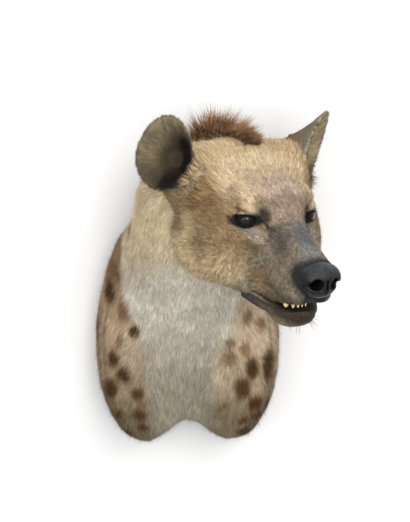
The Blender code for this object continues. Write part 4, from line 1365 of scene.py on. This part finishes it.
def makeEye(name, side, node, glass, rim):
    shift = eye["leftShift"] if side > 0 else (0, 0, 0)
    middle = fromHead(np.add(eye["middle"], shift) * (side, 1, 1))
    axes = headAxes @ (eyeAxes() * np.array((side, 1, 1))[:, None])
    rings, around = 28, 40
    polar = np.linspace(0, math.pi, rings + 1)[1:-1]
    turn = np.linspace(0, 2 * math.pi, around, endpoint=False)
    a, b = np.meshgrid(polar, turn, indexing="ij")
    flat = np.column_stack([(np.sin(a) * np.cos(b)).ravel(), (np.sin(a) * np.sin(b)).ravel(), np.cos(a).ravel()])
    flat = np.concatenate([flat, [(0, 0, 1), (0, 0, -1)]])
    radial = np.hypot(flat[:, 0], flat[:, 1]) * eye["radius"]
    bulge = 1 + 0.03 * share(eye["iris"] + 1 - radial, 0, 5) * (flat[:, 2] > 0)
    verts = middle + (flat * bulge[:, None] * (eye["radius"] - 0.1) * mm) @ axes.T
    front = flat[:, 2] > 0
    tone = np.tile((0.006, 0.0045, 0.004), (len(flat), 1)).astype(float)
    tone = layer(tone, (0.008, 0.005, 0.0035), share(eye["iris"] - radial, -0.4, 0.6) * front)
    tone = layer(tone, (0.003, 0.002, 0.002), share(eye["pupil"] - radial, -0.4, 0.4) * front)
    top, bottom = len(flat) - 2, len(flat) - 1
    quads, tris = [], []
    for i in range(rings - 2):
        for j in range(around):
            k = (j + 1) % around
            quads.append((i * around + j, (i + 1) * around + j, (i + 1) * around + k, i * around + k))
    for j in range(around):
        k = (j + 1) % around
        tris += [(j, k, top), ((rings - 2) * around + k, (rings - 2) * around + j, bottom)]
    faces = [np.array(quads), np.array(tris)]
    if np.linalg.det(axes) < 0:
        faces = [f[:, ::-1] for f in faces]
    addPiece(name, meshFromArrays(name, verts, faces, tones=tone), glass, "eyes", node)
    loop = np.linspace(0, 2 * math.pi, 48, endpoint=False)
    x = eye["slitMiddle"][0] + 11.0 * np.cos(loop)
    y = eye["slitMiddle"][1] + 6.1 * np.sin(loop)
    z = np.sqrt((eye["radius"] + 0.6) ** 2 - x * x - y * y)
    path = np.stack((x, y * eyeUp, z), 1)
    ahead = unit(np.roll(path, -1, 0) - np.roll(path, 1, 0))
    away = unit(path)
    third = np.cross(ahead, away)
    ringVerts = []
    for turn0 in np.linspace(0, 2 * math.pi, 8, endpoint=False):
        ringVerts.append(path + (away * math.cos(turn0) * 1.3 + third * math.sin(turn0) * 1.7))
    ringVerts = np.stack(ringVerts, 1)
    quads = []
    for i in range(48):
        for j in range(8):
            a0, b0 = i * 8 + j, i * 8 + (j + 1) % 8
            quads.append((a0, b0, (b0 + 8) % 384, (a0 + 8) % 384))
    quads = np.array(quads)
    mesh = meshFromArrays(name + "Rim", middle + ringVerts.reshape(-1, 3) * mm @ axes.T, [quads])
    bm = bmesh.new()
    bm.from_mesh(mesh)
    bmesh.ops.recalc_face_normals(bm, faces=bm.faces)
    bm.to_mesh(mesh)
    bm.free()
    addPiece(name + "Rim", mesh, rim, "lips")


glassEye, darkRim = eyeMaterial(), rimMaterial()
makeEye("eyeLeft", 1, "eye_left", glassEye, darkRim)
makeEye("eyeRight", -1, "eye_right", glassEye, darkRim)
print("eyes")


# ---- teeth: the tips that show under the upper lip ----
teeth = {
    "arch": (21.5, 60, 24),  # half width, start and bow of the row in the head's millimetres
    "tall": 10,
    "leftHidden": 4.5,  # the lip covers more of the left row
    # angle along the arch, half width, height of the tip
    "places": (
        (76, 3.6, -89.8),
        (51, 2.4, -87.8),
        (36, 1.7, -86.2),
        (24, 1.2, -84.9),
        (13, 1.1, -83.6),
    ),
}


def toothMaterial():
    material, nodes, links, shader = newMaterial("toothIvory")
    place = nodes.new("ShaderNodeTexCoord")
    stain = nodes.new("ShaderNodeTexNoise")
    stain.inputs["Scale"].default_value = 260
    stain.inputs["Detail"].default_value = 4
    links.new(place.outputs["Object"], stain.inputs["Vector"])
    tint = nodes.new("ShaderNodeValToRGB")
    tint.color_ramp.elements[0].color = (0.36, 0.21, 0.08, 1)
    tint.color_ramp.elements[1].color = (0.70, 0.55, 0.31, 1)
    links.new(stain.outputs["Fac"], tint.inputs["Fac"])
    links.new(tint.outputs["Color"], shader.inputs["Base Color"])
    shader.inputs["Roughness"].default_value = 0.3
    return material


def makeTeeth():
    halfWidth, start, bow = teeth["arch"]
    turn = Matrix(headAxes.tolist()).to_4x4()
    bm = bmesh.new()
    for place, wide, low in teeth["places"]:
        for angle in (math.radians(place), -math.radians(place)):
            tip = low + (teeth["leftHidden"] if angle > 0 else 0)
            made = bmesh.ops.create_uvsphere(bm, u_segments=14, v_segments=9, radius=1)
            size = (wide * mm, wide * 0.85 * mm, teeth["tall"] / 2 * mm, 1)
            side, ahead = halfWidth * math.sin(angle), start + bow * math.cos(angle)
            middle = Vector(fromHead((side, ahead, tip + teeth["tall"] / 2)))
            matrix = Matrix.Translation(middle) @ turn @ Matrix.Rotation(-angle, 4, "Z") @ Matrix.Diagonal(size)
            bmesh.ops.transform(bm, matrix=matrix, verts=made["verts"])
    bmesh.ops.recalc_face_normals(bm, faces=bm.faces)
    mesh = bpy.data.meshes.new("teeth")
    bm.to_mesh(mesh)
    bm.free()
    addPiece("teeth", mesh, toothMaterial(), "lips")
    print("teeth:", 2 * len(teeth["places"]))


makeTeeth()


# ---- whiskers and lashes: bristles set by Geometry Nodes on small beds of hide ----
def bristleTree(name, material):
    tree = bpy.data.node_groups.new(name, "GeometryNodeTree")
    socket = tree.interface.new_socket
    socket("Geometry", in_out="INPUT", socket_type="NodeSocketGeometry")
    socket("Density", in_out="INPUT", socket_type="NodeSocketFloat")
    socket("Length", in_out="INPUT", socket_type="NodeSocketFloat")
    socket("Thickness", in_out="INPUT", socket_type="NodeSocketFloat")
    socket("Droop", in_out="INPUT", socket_type="NodeSocketFloat")
    socket("Seed", in_out="INPUT", socket_type="NodeSocketInt")
    socket("Geometry", in_out="OUTPUT", socket_type="NodeSocketGeometry")
    new, link = tree.nodes.new, tree.links.new
    given, made = new("NodeGroupInput"), new("NodeGroupOutput")
    scatter = new("GeometryNodeDistributePointsOnFaces")
    link(given.outputs["Geometry"], scatter.inputs["Mesh"])
    link(given.outputs["Density"], scatter.inputs["Density"])
    link(given.outputs["Seed"], scatter.inputs["Seed"])
    arc = new("GeometryNodeCurveQuadraticBezier")
    arc.inputs["Resolution"].default_value = 6
    arc.inputs["Start"].default_value = (0, 0, 0)
    bend, tip = new("ShaderNodeCombineXYZ"), new("ShaderNodeCombineXYZ")
    half = new("ShaderNodeMath")
    half.operation = "MULTIPLY"
    half.inputs[1].default_value = 0.5
    link(given.outputs["Length"], half.inputs[0])
    link(half.outputs[0], bend.inputs["Z"])
    link(given.outputs["Length"], tip.inputs["Z"])
    link(given.outputs["Droop"], tip.inputs["X"])
    link(bend.outputs[0], arc.inputs["Middle"])
    link(tip.outputs[0], arc.inputs["End"])
    taper, along, radius = new("ShaderNodeMapRange"), new("GeometryNodeSplineParameter"), new("GeometryNodeSetCurveRadius")
    taper.inputs["To Min"].default_value = 1.0
    taper.inputs["To Max"].default_value = 0.25
    link(along.outputs["Factor"], taper.inputs["Value"])
    link(arc.outputs["Curve"], radius.inputs["Curve"])
    link(taper.outputs["Result"], radius.inputs["Radius"])
    ring, tube = new("GeometryNodeCurvePrimitiveCircle"), new("GeometryNodeCurveToMesh")
    ring.inputs["Resolution"].default_value = 4
    link(given.outputs["Thickness"], ring.inputs["Radius"])
    link(radius.outputs["Curve"], tube.inputs["Curve"])
    link(ring.outputs["Curve"], tube.inputs["Profile Curve"])
    link(radius.inputs["Radius"].links[0].from_socket, tube.inputs["Scale"]) if "Scale" in tube.inputs else None
    tube.inputs["Fill Caps"].default_value = True
    vary, size = new("FunctionNodeRandomValue"), new("GeometryNodeInstanceOnPoints")
    vary.data_type = "FLOAT"
    vary.inputs[2].default_value = 0.6
    vary.inputs[3].default_value = 1.15
    link(given.outputs["Seed"], vary.inputs["Seed"])
    link(scatter.outputs["Points"], size.inputs["Points"])
    link(scatter.outputs["Rotation"], size.inputs["Rotation"])
    link(tube.outputs["Mesh"], size.inputs["Instance"])
    link(vary.outputs[1], size.inputs["Scale"])
    real, paint = new("GeometryNodeRealizeInstances"), new("GeometryNodeSetMaterial")
    paint.inputs["Material"].default_value = material
    link(size.outputs["Instances"], real.inputs["Geometry"])
    link(real.outputs["Geometry"], paint.inputs["Geometry"])
    link(paint.outputs["Geometry"], made.inputs["Geometry"])
    return tree


def whiskerMaterial():
    material, nodes, links, shader = newMaterial("whiskerHair")
    place = nodes.new("ShaderNodeTexCoord")
    band = nodes.new("ShaderNodeTexNoise")
    band.inputs["Scale"].default_value = 120
    links.new(place.outputs["Object"], band.inputs["Vector"])
    tint = nodes.new("ShaderNodeValToRGB")
    tint.color_ramp.elements[0].position = 0.4
    tint.color_ramp.elements[0].color = (0.02, 0.015, 0.012, 1)
    tint.color_ramp.elements[1].position = 0.7
    tint.color_ramp.elements[1].color = (0.16, 0.13, 0.10, 1)
    links.new(band.outputs["Fac"], tint.inputs["Fac"])
    links.new(tint.outputs["Color"], shader.inputs["Base Color"])
    shader.inputs["Roughness"].default_value = 0.4
    return material


whiskers = {
    # bed: middle and radii in the head's millimetres; bristles per square metre, length, thickness, droop, seed
    "lipWhiskers": ((27, 66, -66), (9, 18, 9), 9000, 0.020, 0.00022, -0.006, 3),
    "chinWhiskers": ((12, 62, -108), (16, 18, 9), 16000, 0.012, 0.00022, -0.003, 4),
    "cheekWhiskers": ((58, -2, -58), (7, 7, 6), 9000, 0.020, 0.00022, -0.008, 5),
    "browLashes": ((41, 2, 9.5), (12, 8, 3.0), 8000, 0.006, 0.00014, -0.002, 6),
}


def growWhiskers():
    hair = whiskerMaterial()
    tree = bristleTree("bristles", hair)
    sockets = {item.name: item.identifier for item in tree.interface.items_tree if item.in_out == "INPUT"}
    middles = mirrored(toHead(hideVerts[hideQuads].mean(1)))
    growing = ~bareness(hideVerts[hideQuads].mean(1))
    for name, (centre, radii, density, length, thick, droop, seed) in whiskers.items():
        chosen = hideQuads[(lump(middles, centre, radii) < 0) & growing]
        if not len(chosen):
            continue
        used, index = np.unique(chosen, return_inverse=True)
        bed = bpy.data.objects.new(name + "Bed", meshFromArrays(name, hideVerts[used], [index.reshape(-1, 4)]))
        bpy.context.scene.collection.objects.link(bed)
        modifier = bed.modifiers.new("bristles", "NODES")
        modifier.node_group = tree
        values = {"Density": float(density), "Length": length, "Thickness": thick, "Droop": droop, "Seed": seed}
        for label, value in values.items():
            modifier[sockets[label]] = value
        mesh = bpy.data.meshes.new_from_object(bed.evaluated_get(bpy.context.evaluated_depsgraph_get()))
        bpy.data.objects.remove(bed)
        if mesh.polygons:
            addPiece(name, mesh, hair, "face")
            print(name, len(mesh.polygons), "faces")


growWhiskers()


# ---- the board behind the hide, which stays a solid ----
def boardMaterial():
    material, nodes, links, shader = newMaterial("boardPly")
    place = nodes.new("ShaderNodeTexCoord")
    stretch = nodes.new("ShaderNodeMapping")
    stretch.inputs["Scale"].default_value = (60, 60, 5)
    grain = nodes.new("ShaderNodeTexNoise")
    grain.inputs["Scale"].default_value = 1.5
    grain.inputs["Detail"].default_value = 8
    grain.inputs["Distortion"].default_value = 0.6
    links.new(place.outputs["Object"], stretch.inputs["Vector"])
    links.new(stretch.outputs["Vector"], grain.inputs["Vector"])
    tint = nodes.new("ShaderNodeValToRGB")
    tint.color_ramp.elements[0].position = 0.35
    tint.color_ramp.elements[0].color = (0.34, 0.22, 0.12, 1)
    tint.color_ramp.elements[1].position = 0.7
    tint.color_ramp.elements[1].color = (0.62, 0.46, 0.29, 1)
    links.new(grain.outputs["Fac"], tint.inputs["Fac"])
    links.new(tint.outputs["Color"], shader.inputs["Base Color"])
    bump = nodes.new("ShaderNodeBump")
    bump.inputs["Strength"].default_value = 0.3
    bump.inputs["Distance"].default_value = 0.0005
    links.new(grain.outputs["Fac"], bump.inputs["Height"])
    links.new(bump.outputs["Normal"], shader.inputs["Normal"])
    shader.inputs["Roughness"].default_value = 0.7
    return material


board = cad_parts["wall_board"]
for slotIndex in range(len(board.material_slots)):
    board.material_slots[slotIndex].material = boardMaterial()

# ---- wall, floor, light and camera ----
stage = {"wallGap": 0.002, "wallHalf": 1.6, "floor": -1.0, "wallTone": (0.65, 0.65, 0.648)}


def stageMaterial(name, tone, clearFromBehind):
    material, nodes, links, shader = newMaterial(name)
    shader.inputs["Base Color"].default_value = (*tone, 1)
    shader.inputs["Roughness"].default_value = 0.9
    shader.inputs["Specular IOR Level"].default_value = 0.1
    if clearFromBehind:
        side, clear, mix = nodes.new("ShaderNodeNewGeometry"), nodes.new("ShaderNodeBsdfTransparent"), nodes.new("ShaderNodeMixShader")
        links.new(side.outputs["Backfacing"], mix.inputs["Fac"])
        links.new(shader.outputs["BSDF"], mix.inputs[1])
        links.new(clear.outputs["BSDF"], mix.inputs[2])
        links.new(mix.outputs["Shader"], nodes["Material Output"].inputs["Surface"])
    return material


def stagePlane(name, corners, material):
    mesh = bpy.data.meshes.new(name)
    mesh.from_pydata(corners, [], [(0, 1, 2, 3)])
    plane = bpy.data.objects.new(name, mesh)
    bpy.context.scene.collection.objects.link(plane)
    mesh.materials.append(material)


half, back, low = stage["wallHalf"], stage["wallGap"], stage["floor"]
stagePlane(
    "wall",
    [(-half, back, low), (half, back, low), (half, back, half), (-half, back, half)],
    stageMaterial("wallPaint", stage["wallTone"], True),
)
stagePlane(
    "floor",
    [(-3, -3, low), (3, -3, low), (3, 3, low), (-3, 3, low)],
    stageMaterial("floorPaint", (0.5, 0.5, 0.5), False),
)

lights = {
    # place, size, watts, colour; each looks at the neck
    "key": ((0.95, -2.3, 1.35), 1.5, 40, (1.0, 0.97, 0.93)),
    "fill": ((-1.4, -2.4, 0.0), 1.8, 20, (0.98, 0.99, 1.0)),
    "front": ((0.35, -3.0, 0.2), 1.4, 50, (1.0, 1.0, 1.0)),
}
for lightName, (place, size, watts, colour) in lights.items():
    data = bpy.data.lights.new(lightName, "AREA")
    data.shape = "SQUARE"
    data.size, data.energy, data.color = size, watts, colour
    lamp = bpy.data.objects.new(lightName, data)
    lamp.location = place
    aim = Vector((0.05, -0.15, 0.05)) - lamp.location
    lamp.rotation_euler = aim.to_track_quat("-Z", "Y").to_euler()
    bpy.context.scene.collection.objects.link(lamp)

world = bpy.data.worlds.new("room")
world.use_nodes = True
world.node_tree.nodes["Background"].inputs["Color"].default_value = (0.98, 0.99, 1.0, 1)
world.node_tree.nodes["Background"].inputs["Strength"].default_value = 0.75
bpy.context.scene.world = world
bpy.context.scene.view_settings.view_transform = "Standard"

view = {"elevation": 5, "distance": 1.8, "lens": 102.1, "eyesRight": 0.0905, "eyesUp": 0.0527}


def makeCamera():
    data = bpy.data.cameras.new("camera")
    data.sensor_fit = "AUTO"
    data.sensor_width = 36
    data.lens = view["lens"]
    camera = bpy.data.objects.new("camera", data)
    tilt = math.radians(view["elevation"])
    ahead = Vector((0, math.cos(tilt), -math.sin(tilt)))
    up = Vector((0, math.sin(tilt), math.cos(tilt)))
    right = Vector((1, 0, 0))
    eyes = Vector(headPose["eyesAt"])
    camera.location = eyes - ahead * view["distance"] - right * view["eyesRight"] - up * view["eyesUp"]
    camera.rotation_euler = ahead.to_track_quat("-Z", "Y").to_euler()
    bpy.context.scene.collection.objects.link(camera)
    bpy.context.scene.camera = camera


makeCamera()
print("stage, light and camera")
